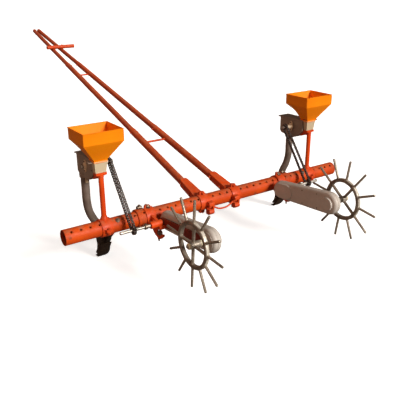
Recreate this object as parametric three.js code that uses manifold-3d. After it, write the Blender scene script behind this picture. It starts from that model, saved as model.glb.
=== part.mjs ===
// Two-row push seeder: a drilled toolbar carries two mirrored planting units and a pair of
// converging push poles. Millimetres, +Z up, +X along the toolbar, +Y towards the handle.
// Unit parts are built for the right-hand side (positive X) and mirrored for the left.
import * as THREE from 'three';
import { mergeVertices } from 'three/addons/utils/BufferGeometryUtils.js';
import Module from 'manifold-3d';

const wasm = await Module();
wasm.setup();

// ---------------------------------------------------------------- driving dimensions
const GAP = 0.3;                      // clearance kept between neighbouring meshes
const DEG = Math.PI / 180;

const BAR_RADIUS = 41;                // toolbar tube
const BAR_WALL = 4;
const BAR_HALF = 936;
const HOLE_COUNT = 37;
const HOLE_PITCH = 50;
const HOLE_RADIUS = 6;
const HOLE_TILT = 51 * DEG;           // the holes face up and towards the wheels

const UNIT_U = 713;                   // row centre, from the middle of the toolbar
const OPENER_U = 652;
const CHAIN_U = 610;
const WHEEL_U = 500;
const CLAMP_U = 463;                  // arm clamp
const CASE_U = [376, 426];            // inboard and outboard faces of the chain case
const POLE_U = 111.2;

const CHAIN_PITCH = 12.7;
const SEED_TEETH = { jack: 10, meter: 8 };
const SEED_CHAIN = { half: 5, groove: 2.8, rise: 4.9 };
const CASE_CHAIN = { half: 7, groove: 4, rise: 5.8 };
const CASE_TEETH = { jack: 14, axle: 18 };
const JACK = { y: -117.3, z: 0 };     // jackshaft axis, also the pivot of the wheel arm
const AXLE = { y: -494.5, z: 35.3 };  // wheel axle
const METER = { y: 110.3, z: 305.8 }; // metering shaft
const SHAFT_RADIUS = 8;
const BORE_RADIUS = SHAFT_RADIUS + 0.7;

const CASE_RADIUS = { front: 53.4, rear: 62.6 };
const CASE_WALL = 3;
const CASE_PAD = 3;                   // height of the round pads on the case faces

const SPIKE_REACH = 228.44;           // wheel centre to spike tip
const SPIKE_COUNT = 12;
const SPOKE_RADIUS = 7;
const RING_RADIUS = 118;
const RING_SECTION = { depth: 16, half: 10, chamfer: 4 };
const WHEEL_PHASE = { left: -4.1 * DEG, right: -37.8 * DEG };

const POLE_RISE = 15.02 * DEG;
const POLE_LENGTH = 2894;
const POLE_TIP_U = 16.6;
const POLE_STEPS = [915, 2103];       // where each pipe enters the next larger one
const POLE_SLEEVE = 70;
const POLE_RADII = { lower: 22.5, middle: 19.1, upper: 16.1 };
const POLE_WALLS = { lower: 3.1, middle: 2.7, upper: 2.6 };
const BRACE_AT = { lower: 712, upper: 1846 };
const HANDLE_AT = 2385;

const GROUND_Z = -267;                // underside of the opener shares
const MIDDLE_Y = 1037.55;             // middle of the whole length, wheel spikes to pole tips

// ---------------------------------------------------------------- materials
const paint = (color, roughness, metalness) =>
  new THREE.MeshStandardMaterial({ color, roughness, metalness });
const MATERIALS = {
  frame: paint(0xe2501a, 0.45, 0.1),
  hopper: paint(0xff8a0c, 0.4, 0.05),
  meterFront: paint(0xcdbb96, 0.55, 0.2),
  housing: paint(0x5f544b, 0.6, 0.3),
  flange: paint(0xd9c3a0, 0.5, 0.3),
  zinc: paint(0xc9c9c4, 0.3, 0.9),
  chain: paint(0x3a332d, 0.5, 0.8),
  seedTube: paint(0x6a5d55, 0.6, 0.0),
  opener: paint(0x1a1512, 0.6, 0.5),
  caseShell: paint(0xd8c8ac, 0.5, 0.05),
  wheel: paint(0x5a4a3c, 0.55, 0.8),
};

// ---------------------------------------------------------------- solids helpers
function solid(geometry) {
  const bare = geometry.clone();
  bare.deleteAttribute('normal');
  bare.deleteAttribute('uv');
  const merged = mergeVertices(bare, 1e-4);
  return new wasm.Manifold(new wasm.Mesh({
    numProp: 3,
    vertProperties: new Float32Array(merged.attributes.position.array),
    triVerts: new Uint32Array(merged.index.array),
  }));
}

function geometryOf(manifold) {
  const mesh = manifold.getMesh();
  const geometry = new THREE.BufferGeometry();
  geometry.setAttribute('position', new THREE.BufferAttribute(mesh.vertProperties, 3));
  geometry.setIndex(new THREE.BufferAttribute(mesh.triVerts, 1));
  geometry.computeVertexNormals();
  return geometry;
}

const join = (...bodies) => bodies.reduce((sum, body) => sum.add(body));
const cut = (body, ...tools) => tools.reduce((rest, tool) => rest.subtract(tool), body);

function box([x0, x1], [y0, y1], [z0, z1]) {
  const geometry = new THREE.BoxGeometry(x1 - x0, y1 - y0, z1 - z0);
  return solid(geometry.translate((x0 + x1) / 2, (y0 + y1) / 2, (z0 + z1) / 2));
}

// round bar along X between two stations
function rod(radius, [x0, x1], { y, z }, sides = 12) {
  const geometry = new THREE.CylinderGeometry(radius, radius, x1 - x0, sides);
  return solid(geometry.rotateZ(Math.PI / 2).translate((x0 + x1) / 2, y, z));
}

// round bar along Z
function pin(radius, x, y, [z0, z1], sides = 14) {
  const geometry = new THREE.CylinderGeometry(radius, radius, z1 - z0, sides);
  return solid(geometry.rotateX(Math.PI / 2).translate(x, y, (z0 + z1) / 2));
}

function pipe(outer, inner, [x0, x1], centre, sides = 32) {
  return cut(rod(outer, [x0, x1], centre, sides), rod(inner, [x0 - 1, x1 + 1], centre, sides));
}

// outline in the Y-Z plane, extruded along X between two stations
function plate(outline, [x0, x1], curveSegments = 6) {
  const shape = outline instanceof THREE.Shape
    ? outline
    : new THREE.Shape(outline.map(([y, z]) => new THREE.Vector2(y, z)));
  const geometry = new THREE.ExtrudeGeometry(shape, {
    depth: x1 - x0, bevelEnabled: false, curveSegments,
  });
  const turn = new THREE.Matrix4().set(0, 0, 1, x0, 1, 0, 0, 0, 0, 1, 0, 0, 0, 0, 0, 1);
  return solid(geometry.applyMatrix4(turn));
}

// belt line around two circles: arcs joined by their common tangents
function beltShape(a, ra, b, rb) {
  const along = Math.atan2(b.z - a.z, b.y - a.y);
  const span = Math.hypot(b.z - a.z, b.y - a.y);
  const lean = Math.acos((ra - rb) / span);
  const shape = new THREE.Shape();
  shape.absarc(b.y, b.z, rb, along - lean, along + lean, false);
  shape.absarc(a.y, a.z, ra, along + lean, along - lean + 2 * Math.PI, false);
  return shape;
}

// sector of a ring about the toolbar, between two angles from +Y towards +Z
function ringSector(inner, outer, from, to, [x0, x1]) {
  const shape = new THREE.Shape();
  shape.absarc(0, 0, outer, from, to, false);
  shape.absarc(0, 0, inner, to, from, true);
  return plate(shape, [x0, x1], 11);
}

// four-sided loft through level rectangles {z, x: [x0, x1], y: [y0, y1]}, top first
function loft(levels) {
  const positions = [];
  const index = [];
  for (const { z, x, y } of levels) {
    positions.push(x[0], y[0], z, x[1], y[0], z, x[1], y[1], z, x[0], y[1], z);
  }
  const last = (levels.length - 1) * 4;
  index.push(0, 1, 2, 0, 2, 3, last, last + 2, last + 1, last, last + 3, last + 2);
  for (let level = 0; level < levels.length - 1; level += 1) {
    for (let side = 0; side < 4; side += 1) {
      const a = level * 4 + side;
      const b = level * 4 + (side + 1) % 4;
      index.push(a, a + 4, b, b, a + 4, b + 4);
    }
  }
  const geometry = new THREE.BufferGeometry();
  geometry.setAttribute('position', new THREE.Float32BufferAttribute(positions, 3));
  geometry.setIndex(index);
  return solid(geometry);
}

// ---------------------------------------------------------------- naming and placing
const group = new THREE.Group();
group.position.set(0, -MIDDLE_Y, -GROUND_Z);

function addMesh(name, material, body) {
  const mesh = new THREE.Mesh(geometryOf(body), MATERIALS[material]);
  mesh.name = name;
  group.add(mesh);
}

// the same right-hand body on both sides; a function is given the side's name
function addPair(name, material, body) {
  for (const side of ['left', 'right']) {
    const made = typeof body === 'function' ? body(side) : body;
    addMesh(`${side}_${name}`, material, side === 'left' ? made.mirror([1, 0, 0]) : made);
  }
}

// ---------------------------------------------------------------- toolbar
function toolbar() {
  let tube = pipe(BAR_RADIUS, BAR_RADIUS - BAR_WALL, [-BAR_HALF, BAR_HALF], { y: 0, z: 0 }, 24);
  for (let k = 0; k < HOLE_COUNT; k += 1) {
    const x = (k - (HOLE_COUNT - 1) / 2) * HOLE_PITCH;
    const drill = new THREE.CylinderGeometry(HOLE_RADIUS, HOLE_RADIUS, BAR_RADIUS, 6);
    drill.translate(0, -BAR_RADIUS, 0).rotateX(-HOLE_TILT).translate(x, 0, 0);
    tube = tube.subtract(solid(drill));
  }
  return tube;
}

// ---------------------------------------------------------------- clamps round the toolbar
const CLAMP_INNER = BAR_RADIUS + 2 * GAP;
const CLAMP_OUTER = 47.6;
const EAR = { reach: 64, thick: 7, half: 17 };  // bolted ears beside the split

// half of a clamp; facing is the angle of its middle, with an ear at each end
function clampHalf([x0, x1], facing) {
  const quarter = Math.PI / 2;
  const middle = (x0 + x1) / 2;
  const ears = plate([
    [GAP, CLAMP_INNER], [EAR.thick, CLAMP_INNER], [EAR.thick, EAR.reach], [GAP, EAR.reach],
  ], [middle - EAR.half, middle + EAR.half]);
  const ring = ringSector(CLAMP_INNER, CLAMP_OUTER, -quarter, quarter, [x0, x1]);
  const bolts = [-1, 1].map((end) => {
    const hole = new THREE.CylinderGeometry(4.5, 4.5, 4 * EAR.thick, 6);
    return solid(hole.translate(middle, 0, end * (CLAMP_OUTER + EAR.reach) / 2));
  });
  const trim = box([x0 - 1, x1 + 1], [-9, GAP], [-EAR.reach - 1, EAR.reach + 1]);
  const half = cut(join(ring, ears, ears.mirror([0, 0, 1])), trim, ...bolts);
  return half.rotate([facing / DEG, 0, 0]);
}

// ---------------------------------------------------------------- seed metering and hopper
const HOUSING_X = [672, 742];
const FRONT_X = [679, 747];
const FRONT_Y = [-12, 20];
const TUBE_AXIS = { x: 722, y: 184 };
const TUBE_RADII = { outer: 22, inner: 19 };

function hopper() {
  const rim = { z: 516, x: [608.7, 817.3], y: [-69.6, 112.8] };
  const waist = { z: 457, x: rim.x, y: rim.y };
  const kink = { z: 420, x: [635, 791], y: [-48.4, 52] };
  const outlet = { z: 358.6, x: [680, 746], y: [-11.7, 33] };
  const wall = 2.5;
  const inset = ({ z, x, y }) => ({
    z, x: [x[0] + wall, x[1] - wall], y: [y[0] + wall, y[1] - wall],
  });
  const outside = loft([rim, waist, kink, outlet]);
  const mouth = { ...inset(rim), z: rim.z + 1 };
  const drop = { ...inset(outlet), z: outlet.z - 1 };
  const inside = loft([mouth, inset(waist), inset(kink), drop]);
  const lip = box([rim.x[0] - 3, rim.x[1] + 3], [rim.y[0] - 3, rim.y[1] + 3], [511, 516]);
  const foot = box([676, 750], [-14, 36], [355.9, 360]);
  const throat = box([684, 742], [-8, 29], [350, 362]);
  return cut(join(outside, lip, foot), inside, throat);
}

function meterFront() {
  const body = box(FRONT_X, FRONT_Y, [295, 348]);
  const collar = box([675, 751], [-14, FRONT_Y[1]], [347, 355.6]);
  const well = box([685, 741], [-7, 30], [301, 340]);
  const inlet = box([686, 740], [-7, 30], [320, 360]);
  return cut(join(body, collar), well, inlet);
}

function meterHousing() {
  const y0 = FRONT_Y[1] + GAP;
  const outer = [[y0, 355.6], [y0, 287], [50, 262], [95, 233], [150, 236], [208, 244],
    [222, 256], [222, 340], [235, 340], [235, 346]];
  const inner = [[y0 - 5, 350], [y0 - 5, 300], [y0 + 4, 290], [53, 266], [97, 238], [150, 241],
    [205, 248], [217, 258], [217, 342]];
  const shell = cut(plate(outer, HOUSING_X), plate(inner, [HOUSING_X[0] + 4, HOUSING_X[1] - 4]));
  const spout = pin(27, TUBE_AXIS.x, TUBE_AXIS.y, [224, 246], 20);
  const chute = pin(19, TUBE_AXIS.x, TUBE_AXIS.y, [200, 256], 20);
  const seat = pin(TUBE_RADII.outer + GAP, TUBE_AXIS.x, TUBE_AXIS.y, [200, 240], 20);
  const boss = rod(20, [HOUSING_X[0] - 8, HOUSING_X[0] + 2], METER);
  const bore = rod(BORE_RADIUS, [600, 800], METER);
  return cut(join(shell, spout, boss), chute, seat, bore);
}

function bearingFlange() {
  const x0 = HOUSING_X[1] + GAP;
  const lobe = 8;
  const up = { y: METER.y, z: METER.z + 24 };
  const down = { y: METER.y, z: METER.z - 24 };
  const diamond = join(
    plate(beltShape(METER, 17, up, lobe), [x0, x0 + 6]),
    plate(beltShape(METER, 17, down, lobe), [x0, x0 + 6]),
  );
  return cut(join(diamond, rod(13, [x0, x0 + 16], METER)), rod(BORE_RADIUS, [700, 800], METER));
}

function meterRotor() {
  const radius = 38;
  const cells = 10;
  let drum = rod(radius, [681, 733], METER, 20);
  for (let cell = 0; cell < cells; cell += 1) {
    const angle = 2 * Math.PI * cell / cells;
    const at = { y: METER.y + radius * Math.cos(angle), z: METER.z + radius * Math.sin(angle) };
    drum = drum.subtract(rod(6, [690, 724], at, 6));
  }
  return join(drum, rod(SHAFT_RADIUS, [592, 764], METER));
}

function seedTube() {
  const route = new THREE.CatmullRomCurve3([
    [TUBE_AXIS.x, TUBE_AXIS.y, 239.5], [TUBE_AXIS.x, TUBE_AXIS.y, 160], [722, 185, 90],
    [712, 192, 30], [690, 201, -22], [666, 192, -66], [652, 178, -96], [650, 171, -114],
  ].map((point) => new THREE.Vector3(...point)));
  const section = new THREE.Shape();
  section.absarc(0, 0, TUBE_RADII.outer, 0, 2 * Math.PI, false);
  const bore = new THREE.Path();
  bore.absarc(0, 0, TUBE_RADII.inner, 0, 2 * Math.PI, true);
  section.holes.push(bore);
  const geometry = new THREE.ExtrudeGeometry(section, {
    steps: 14, extrudePath: route, curveSegments: 5,
  });
  return solid(geometry);
}

// ---------------------------------------------------------------- furrow opener
const BOOT_X = [OPENER_U - 30, OPENER_U + 30];

function openerBoot() {
  const outer = [[124, -100], [216, -100], [199, -143], [187, -180], [196, -212], [216, -241],
    [196.6, -241], [174.6, -212.2], [153.6, -179.2], [147, -168], [127, -136]];
  const inner = [[128, -90], [212, -90], [212, -100], [195, -143], [183, -180], [192, -213],
    [214, -246], [200, -246], [178, -210], [157, -176], [151, -166], [131, -134]];
  const shell = cut(plate(outer, BOOT_X), plate(inner, [BOOT_X[0] + 4, BOOT_X[1] - 4]));
  const shank = plate([[5, -35], [138, -158], [128, -114], [33, -12]],
    [OPENER_U - 10, OPENER_U + 6]);
  const saddle = ringSector(CLAMP_INNER, 47, -HOLE_TILT - 0.6, -HOLE_TILT + 0.6,
    [OPENER_U - 30, OPENER_U + 26]);
  const bar = rod(CLAMP_INNER, [OPENER_U - 60, OPENER_U + 60], { y: 0, z: 0 }, 24);
  return join(shell, cut(shank, bar), cut(saddle, bar));
}

function openerShare() {
  const outline = [[127, -153], [143, -187], [163, -220], [186, -249], [206, GROUND_Z], [232, -262],
    [214, -255.5], [196, -242], [174, -213], [153, -180]];
  return plate(outline, [BOOT_X[0] - 3, BOOT_X[1] + 3]);
}

// ---------------------------------------------------------------- post that carries the meter
const POST_X = [UNIT_U - 30, UNIT_U + 30];

function unitPost() {
  const saddle = plate([[-12, 283], [7, 274], [47, 250], [60, 247], [60, 255], [49.5, 261.4],
    [19.8, 286.3], [19.8, 294.6], [-12, 294.6]], FRONT_X);
  const post = pin(13.5, UNIT_U, 0, [40, 290]);
  const bore = pin(10.5, UNIT_U, 0, [30, 276]);
  const bar = rod(CLAMP_INNER, [UNIT_U - 60, UNIT_U + 60], { y: 0, z: 0 }, 24);
  const foot = cut(pin(18, UNIT_U, 0, [30, 62]), bar);
  return cut(join(saddle, cut(post, bar), foot, clampHalf(POST_X, 90 * DEG)), bore);
}

// ---------------------------------------------------------------- chains and sprockets
const TOOTH_RISE = 1.8;               // tooth tips above the pitch circle
const pitchRadius = (teeth) => CHAIN_PITCH / 2 / Math.sin(Math.PI / teeth);

// grooved loop: side plates either side of a groove that the teeth run in
function chainLoop(a, teethA, b, teethB, x, { half, groove, rise }) {
  const loop = (grow, reach) => {
    const belt = beltShape(a, pitchRadius(teethA) + grow, b, pitchRadius(teethB) + grow);
    return plate(belt, [x - reach, x + reach], 7);
  };
  return cut(loop(rise, half), loop(-rise, 2 * half), loop(TOOTH_RISE + 1.8, groove));
}

function sprocketDisc(teeth, { y, z }, x, thick) {
  const tip = pitchRadius(teeth) + TOOTH_RISE;
  const root = pitchRadius(teeth) - 4;
  const outline = [];
  for (let tooth = 0; tooth < teeth; tooth += 1) {
    for (const [share, radius] of [[-0.15, tip], [0.15, tip], [0.5, root]]) {
      const angle = 2 * Math.PI * (tooth + share) / teeth;
      outline.push([y + radius * Math.cos(angle), z + radius * Math.sin(angle)]);
    }
  }
  return plate(outline, [x - thick / 2, x + thick / 2]);
}

function seedSprocket(centre, teeth, hubRadius) {
  const disc = sprocketDisc(teeth, centre, CHAIN_U, 4.2);
  const hub = rod(hubRadius, [CHAIN_U - 14, CHAIN_U + 12], centre);
  return cut(join(disc, hub), rod(SHAFT_RADIUS + GAP, [500, 700], centre));
}

const CASE_MID = (CASE_U[0] + CASE_U[1]) / 2;

// plain shaft with a sprocket and its hub inside the chain case
function drivenShaft(centre, outboard, teeth, hubRadius) {
  const shaft = rod(SHAFT_RADIUS, [368, outboard], centre);
  const hub = rod(hubRadius, [CASE_MID - 8, CASE_MID + 8], centre);
  return join(shaft, sprocketDisc(teeth, centre, CASE_MID, 6), hub);
}

// ---------------------------------------------------------------- chain case
// half shell with its face at one station and its open rim at the other
function caseShell(face, rim) {
  const inward = Math.sign(rim - face);
  const station = (from, to) => [Math.min(from, to), Math.max(from, to)];
  const { front, rear } = CASE_RADIUS;
  const skin = plate(beltShape(JACK, front, AXLE, rear), station(face, rim), 9);
  const room = plate(beltShape(JACK, front - CASE_WALL, AXLE, rear - CASE_WALL),
    station(face + CASE_WALL * inward, rim + inward), 8);
  const pads = [[JACK, 40], [AXLE, 46]].map(([centre, radius]) =>
    rod(radius, station(face - CASE_PAD * inward, face + inward), centre, 18));
  const bores = [JACK, AXLE].map((centre) => rod(BORE_RADIUS, [360, 440], centre));
  return cut(join(skin, ...pads), room, ...bores);
}

// ---------------------------------------------------------------- wheel arm and its clamp
function wheelArm() {
  const inboard = CASE_U[1] + CASE_PAD + 0.5;
  const bar = plate(beltShape(JACK, 24, AXLE, 22), [inboard + 1.5, inboard + 10]);
  const eyes = join(rod(20, [inboard, 445], JACK), rod(17, [inboard, 454], AXLE));
  const bores = [JACK, AXLE].map((centre) => rod(BORE_RADIUS, [400, 460], centre));
  return cut(join(bar, eyes), ...bores);
}

const ARM_CLAMP_X = [CLAMP_U - 27, CLAMP_U + 27];

function armClamp() {
  const barrel = rod(20, [446, 512], JACK);
  const web = plate([[-100, -18], [-100, 18], [-42, 26], [-42, -26]], [CLAMP_U - 12, CLAMP_U + 12]);
  const sector = plate([[-40, -40], [-100, -8], [-134, -10], [-131, -54], [-116, -86], [-100, -94],
    [-84, -80], [-60, -54]], [CLAMP_U - 15, CLAMP_U - 6]);
  const bar = rod(CLAMP_INNER, [CLAMP_U - 60, CLAMP_U + 60], { y: 0, z: 0 }, 24);
  const bore = rod(BORE_RADIUS, [400, 540], JACK);
  const body = join(clampHalf(ARM_CLAMP_X, Math.PI), barrel, cut(web, bar), cut(sector, bar));
  return cut(body, bore, box([430, 500], [-0.2, 20], [-90, 90]));
}

// ---------------------------------------------------------------- spiked ground wheel
// thick ring with its corners taken off
function wheelRing() {
  const { depth, half, chamfer } = RING_SECTION;
  const [inner, outer] = [RING_RADIUS - depth, RING_RADIUS];
  const section = [[inner, chamfer - half], [inner + chamfer, -half], [outer - chamfer, -half],
    [outer, chamfer - half], [outer, half - chamfer], [outer - chamfer, half],
    [inner + chamfer, half], [inner, half - chamfer], [inner, chamfer - half]];
  const points = section.map(([radius, along]) => new THREE.Vector2(radius, along));
  const ring = new THREE.LatheGeometry(points, 28);
  return solid(ring.rotateZ(-Math.PI / 2).translate(WHEEL_U, AXLE.y, AXLE.z));
}

function groundWheel(side) {
  const ring = wheelRing();
  const hub = rod(17, [WHEEL_U - 38, WHEEL_U + 22], AXLE);
  const phase = WHEEL_PHASE[side];
  const spikes = [];
  for (let k = 0; k < SPIKE_COUNT; k += 1) {
    const length = SPIKE_REACH - RING_RADIUS + 4;
    const spike = new THREE.CylinderGeometry(4.8, 5.5, length, 8);
    spike.rotateX(Math.PI / 2).translate(0, 0, SPIKE_REACH - length / 2);
    spike.rotateX(-phase - k * 2 * Math.PI / SPIKE_COUNT).translate(WHEEL_U, AXLE.y, AXLE.z);
    spikes.push(solid(spike));
  }
  const spokes = [0, Math.PI / 2].map((quarter) => {
    const bar = new THREE.CylinderGeometry(SPOKE_RADIUS, SPOKE_RADIUS, 2 * RING_RADIUS - 16, 12);
    bar.rotateX(Math.PI / 2 - phase - quarter).translate(WHEEL_U, AXLE.y, AXLE.z);
    return solid(bar);
  });
  return cut(join(ring, hub, ...spokes, ...spikes), rod(SHAFT_RADIUS + GAP, [400, 560], AXLE));
}

// ---------------------------------------------------------------- push poles
const poleU = (t) => POLE_U + (POLE_TIP_U - POLE_U) * t / POLE_LENGTH;
const POLE_START = new THREE.Vector3(POLE_U, 0, 3.9);

// local frame: Y along the pole, Z up and square to it
function onPole(body) {
  const toe = Math.asin((POLE_U - POLE_TIP_U) / POLE_LENGTH);
  return body.rotate([POLE_RISE / DEG, 0, 0]).rotate([0, 0, toe / DEG])
    .translate(POLE_START.toArray());
}

function poleTube(outer, wall, [t0, t1]) {
  const tube = new THREE.CylinderGeometry(outer, outer, t1 - t0, 20);
  const bore = new THREE.CylinderGeometry(outer - wall, outer - wall, t1 - t0 + 2, 20);
  const middle = (t0 + t1) / 2;
  return onPole(cut(solid(tube.translate(0, middle, 0)), solid(bore.translate(0, middle, 0))));
}

function poleBracket() {
  const half = 25.7;
  const inner = POLE_RADII.lower + 0.5;
  const channel = cut(
    box([-half, half], [20, 212], [-15, half]),
    box([-inner, inner], [0, 230], [-40, inner]),
  );
  const bar = rod(CLAMP_INNER, [0, 220], { y: 0, z: 0 }, 24);
  const split = box([0, 220], [-90, GAP], [-90, 90]);
  return join(cut(onPole(channel), bar, split), clampHalf([POLE_U - 30, POLE_U + 30], 0));
}

function bracketCap() {
  const lug = box([POLE_U - 36, POLE_U - 6], [-74, -38], [-58, 4]);
  const bar = rod(CLAMP_INNER, [0, 220], { y: 0, z: 0 }, 24);
  const socket = rod(6.2, [POLE_U - 40, POLE_U - 16], { y: -60, z: -16 }, 12);
  return cut(join(clampHalf([POLE_U - 30, POLE_U + 30], Math.PI), cut(lug, bar)), socket);
}

function tieRod() {
  const end = POLE_U - 18;
  const route = new THREE.CatmullRomCurve3([
    [-end, -60, -16], [-end + 30, -60, -17], [-35, -60, -37], [0, -60, -42],
    [35, -60, -37], [end - 30, -60, -17], [end, -60, -16],
  ].map((point) => new THREE.Vector3(...point)));
  const section = new THREE.Shape();
  section.absarc(0, 0, 5, 0, 2 * Math.PI, false);
  return solid(new THREE.ExtrudeGeometry(section, {
    steps: 18, extrudePath: route, curveSegments: 4,
  }));
}

// straight bar between the poles, saddle-cut to them
function crossBrace(t, radius, poleRadius) {
  const at = { y: t * Math.cos(POLE_RISE), z: POLE_START.z + t * Math.sin(POLE_RISE) };
  const bar = rod(radius, [-poleU(t), poleU(t)], at, 10);
  const pole = onPole(solid(new THREE.CylinderGeometry(
    poleRadius + GAP, poleRadius + GAP, 200, 20).translate(0, t, 0)));
  return cut(bar, pole, pole.mirror([1, 0, 0]));
}

function handleBar() {
  const lift = POLE_RADII.upper + 15 + GAP;
  const y = HANDLE_AT * Math.cos(POLE_RISE) - lift * Math.sin(POLE_RISE);
  const z = POLE_START.z + HANDLE_AT * Math.sin(POLE_RISE) + lift * Math.cos(POLE_RISE);
  return pipe(15, 12.4, [-98, 142], { y, z }, 16);
}

// ---------------------------------------------------------------- assembly
addMesh('toolbar', 'frame', toolbar());

addPair('hopper', 'hopper', hopper());
addPair('metering_front', 'meterFront', meterFront());
addPair('metering_housing', 'housing', meterHousing());
addPair('bearing_flange', 'flange', bearingFlange());
addPair('metering_rotor', 'zinc', meterRotor());
addPair('seed_tube', 'seedTube', seedTube());
addPair('opener_boot', 'opener', openerBoot());
addPair('opener_share', 'opener', openerShare());
addPair('unit_post', 'frame', unitPost());
addPair('post_clamp_cap', 'frame', clampHalf(POST_X, -90 * DEG));

addPair('seed_chain', 'chain',
  chainLoop(JACK, SEED_TEETH.jack, METER, SEED_TEETH.meter, CHAIN_U, SEED_CHAIN));
addPair('upper_sprocket', 'chain', seedSprocket(METER, SEED_TEETH.meter, 10.8));
addPair('lower_sprocket', 'chain', seedSprocket(JACK, SEED_TEETH.jack, 13.5));
addPair('jackshaft', 'zinc', drivenShaft(JACK, 686, CASE_TEETH.jack, 14));

addPair('arm_clamp', 'frame', armClamp());
addPair('arm_clamp_cap', 'frame', clampHalf(ARM_CLAMP_X, 0));
addPair('wheel_arm', 'frame', wheelArm());
addPair('case_inner', 'caseShell', caseShell(CASE_U[0], CASE_MID - GAP / 2));
addPair('case_outer', 'caseShell', caseShell(CASE_U[1], CASE_MID + GAP / 2));
addPair('case_chain', 'chain',
  chainLoop(JACK, CASE_TEETH.jack, AXLE, CASE_TEETH.axle, CASE_MID, CASE_CHAIN));
addPair('wheel_axle', 'zinc', drivenShaft(AXLE, 532, CASE_TEETH.axle, 16));
addPair('ground_wheel', 'wheel', groundWheel);

addPair('pole_bracket', 'frame', poleBracket());
addPair('bracket_cap', 'frame', bracketCap());
addPair('lower_pole', 'frame', poleTube(POLE_RADII.lower, POLE_WALLS.lower, [62, POLE_STEPS[0]]));
addPair('middle_pole', 'frame',
  poleTube(POLE_RADII.middle, POLE_WALLS.middle, [POLE_STEPS[0] - POLE_SLEEVE, POLE_STEPS[1]]));
addPair('upper_pole', 'frame',
  poleTube(POLE_RADII.upper, POLE_WALLS.upper, [POLE_STEPS[1] - POLE_SLEEVE, POLE_LENGTH]));
addMesh('lower_brace', 'frame', crossBrace(BRACE_AT.lower, 7, POLE_RADII.lower));
addMesh('upper_brace', 'frame', crossBrace(BRACE_AT.upper, 6, POLE_RADII.middle));
addMesh('handle_bar', 'frame', handleBar());
addMesh('tie_rod', 'frame', tieRod());

export default group;
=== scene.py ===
import random
from math import acos, asin, atan2, cos, dist, hypot, pi, sin, sqrt, tan

import bmesh
import bpy
from mathutils import Matrix, Vector

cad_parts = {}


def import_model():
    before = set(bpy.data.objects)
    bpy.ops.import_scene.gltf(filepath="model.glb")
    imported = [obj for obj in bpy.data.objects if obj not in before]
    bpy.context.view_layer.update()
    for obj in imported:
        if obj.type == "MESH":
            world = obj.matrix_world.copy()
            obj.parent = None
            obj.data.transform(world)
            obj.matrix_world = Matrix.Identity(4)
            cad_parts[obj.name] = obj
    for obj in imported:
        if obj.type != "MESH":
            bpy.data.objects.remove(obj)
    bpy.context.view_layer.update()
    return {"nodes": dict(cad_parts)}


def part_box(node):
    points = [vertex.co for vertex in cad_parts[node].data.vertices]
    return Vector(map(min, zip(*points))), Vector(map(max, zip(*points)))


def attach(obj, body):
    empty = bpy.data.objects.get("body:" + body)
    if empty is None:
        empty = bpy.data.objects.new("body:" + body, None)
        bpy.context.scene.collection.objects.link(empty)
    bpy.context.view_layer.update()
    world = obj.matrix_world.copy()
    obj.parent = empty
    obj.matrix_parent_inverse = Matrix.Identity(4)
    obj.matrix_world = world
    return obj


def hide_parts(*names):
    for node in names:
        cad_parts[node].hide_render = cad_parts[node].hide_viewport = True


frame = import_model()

# ---------- dimensions
# Millimetres in the machine's own frame: the toolbar axis is the origin, +X along the toolbar,
# +Y towards the handle, +Z up. Shapes are made for the right-hand unit and mirrored for the left.
# A centre written as two numbers is (y, z), of something that lies along X.
low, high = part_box("toolbar")
ORIGIN = (low + high) / 2
MM = 0.001
DEG = pi / 180
SIDES = ("left", "right")
X, Y, Z = (1, 0, 0), (0, 1, 0), (0, 0, 1)

BAR_RADIUS, BAR_BORE, BAR_HALF = 41.0, 37.0, 936.0
HOLE_PITCH, HOLE_RADIUS, HOLE_COUNT = 50.0, 6.0, 37
HOLE_ANGLE = 129 * DEG            # where the front row of holes faces, from +Y towards +Z
HOLE_OUT = Vector((0, cos(HOLE_ANGLE), sin(HOLE_ANGLE)))
UNIT_U, OPENER_U, CHAIN_U, WHEEL_U, CLAMP_U, POLE_U = 713.0, 652.0, 610.0, 500.0, 463.0, 111.2
SLEEVE_HOLE, SHANK_HOLE = 10 * HOLE_PITCH, 13 * HOLE_PITCH
JACK, AXLE, METER = (-117.3, 0.0), (-494.5, 35.3), (110.3, 305.8)
TUBE_X, TUBE_Y = 722.0, 184.0
SHAFT = 8.0
CLAMP_INNER, CLAMP_OUTER = 41.6, 47.6
EAR_ROOT, EAR_REACH, EAR_BOLT, EAR_FACE = 43.0, 64.0, 56.0, 7.2
UNIT_CLAMP, ARM_CLAMP, POLE_CLAMP = (UNIT_U, 30), (CLAMP_U, 27), (POLE_U, 30)   # middle, half width
HOUSING_IN, HOUSING_OUT = 672.0, 742.0
FLANGE_OUT, FLANGE_IN = 742.3, 663.6
FLANGE_THICK, FLANGE_SCREW = 6.0, 24.0
CASE_IN, CASE_OUT, CASE_JOINT, CASE_GAP = 376.0, 426.0, 401.0, 0.15
CASE_FRONT, CASE_REAR, CASE_SPAN = 53.4, 62.6, 378.8
CASE_TEETH = (CASE_JOINT - 3, CASE_JOINT + 3)    # the sprockets inside the case
ARM_IN, ARM_OUT = 431.0, 439.5
RING, RING_DEPTH, SPIKE_REACH, SPIKE_COUNT, SPIKE, SPOKE = 118.0, 20.0, 228.5, 12, 7.0, 8.0
WHEEL_PHASE = {"left": -4.1 * DEG, "right": -37.8 * DEG}
POLE_RISE = 15.02 * DEG
POLE_LENGTH, POLE_TIP_U, POLE_Z = 2894.0, 16.6, 3.9
POLE_STEPS = (915.0, 2103.0)      # where one pipe ends on the next
POLE_R, POLE_BORE = (22.5, 19.1, 16.1), (19.4, 16.4, 13.5)
BRACE_AT, HANDLE_AT, TIE_Y = (712.0, 1846.0), 2385.0, -60.0
CHAIN_PITCH = 12.7
JACK_TEETH, METER_TEETH = 10, 8

scene = bpy.context.scene


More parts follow.
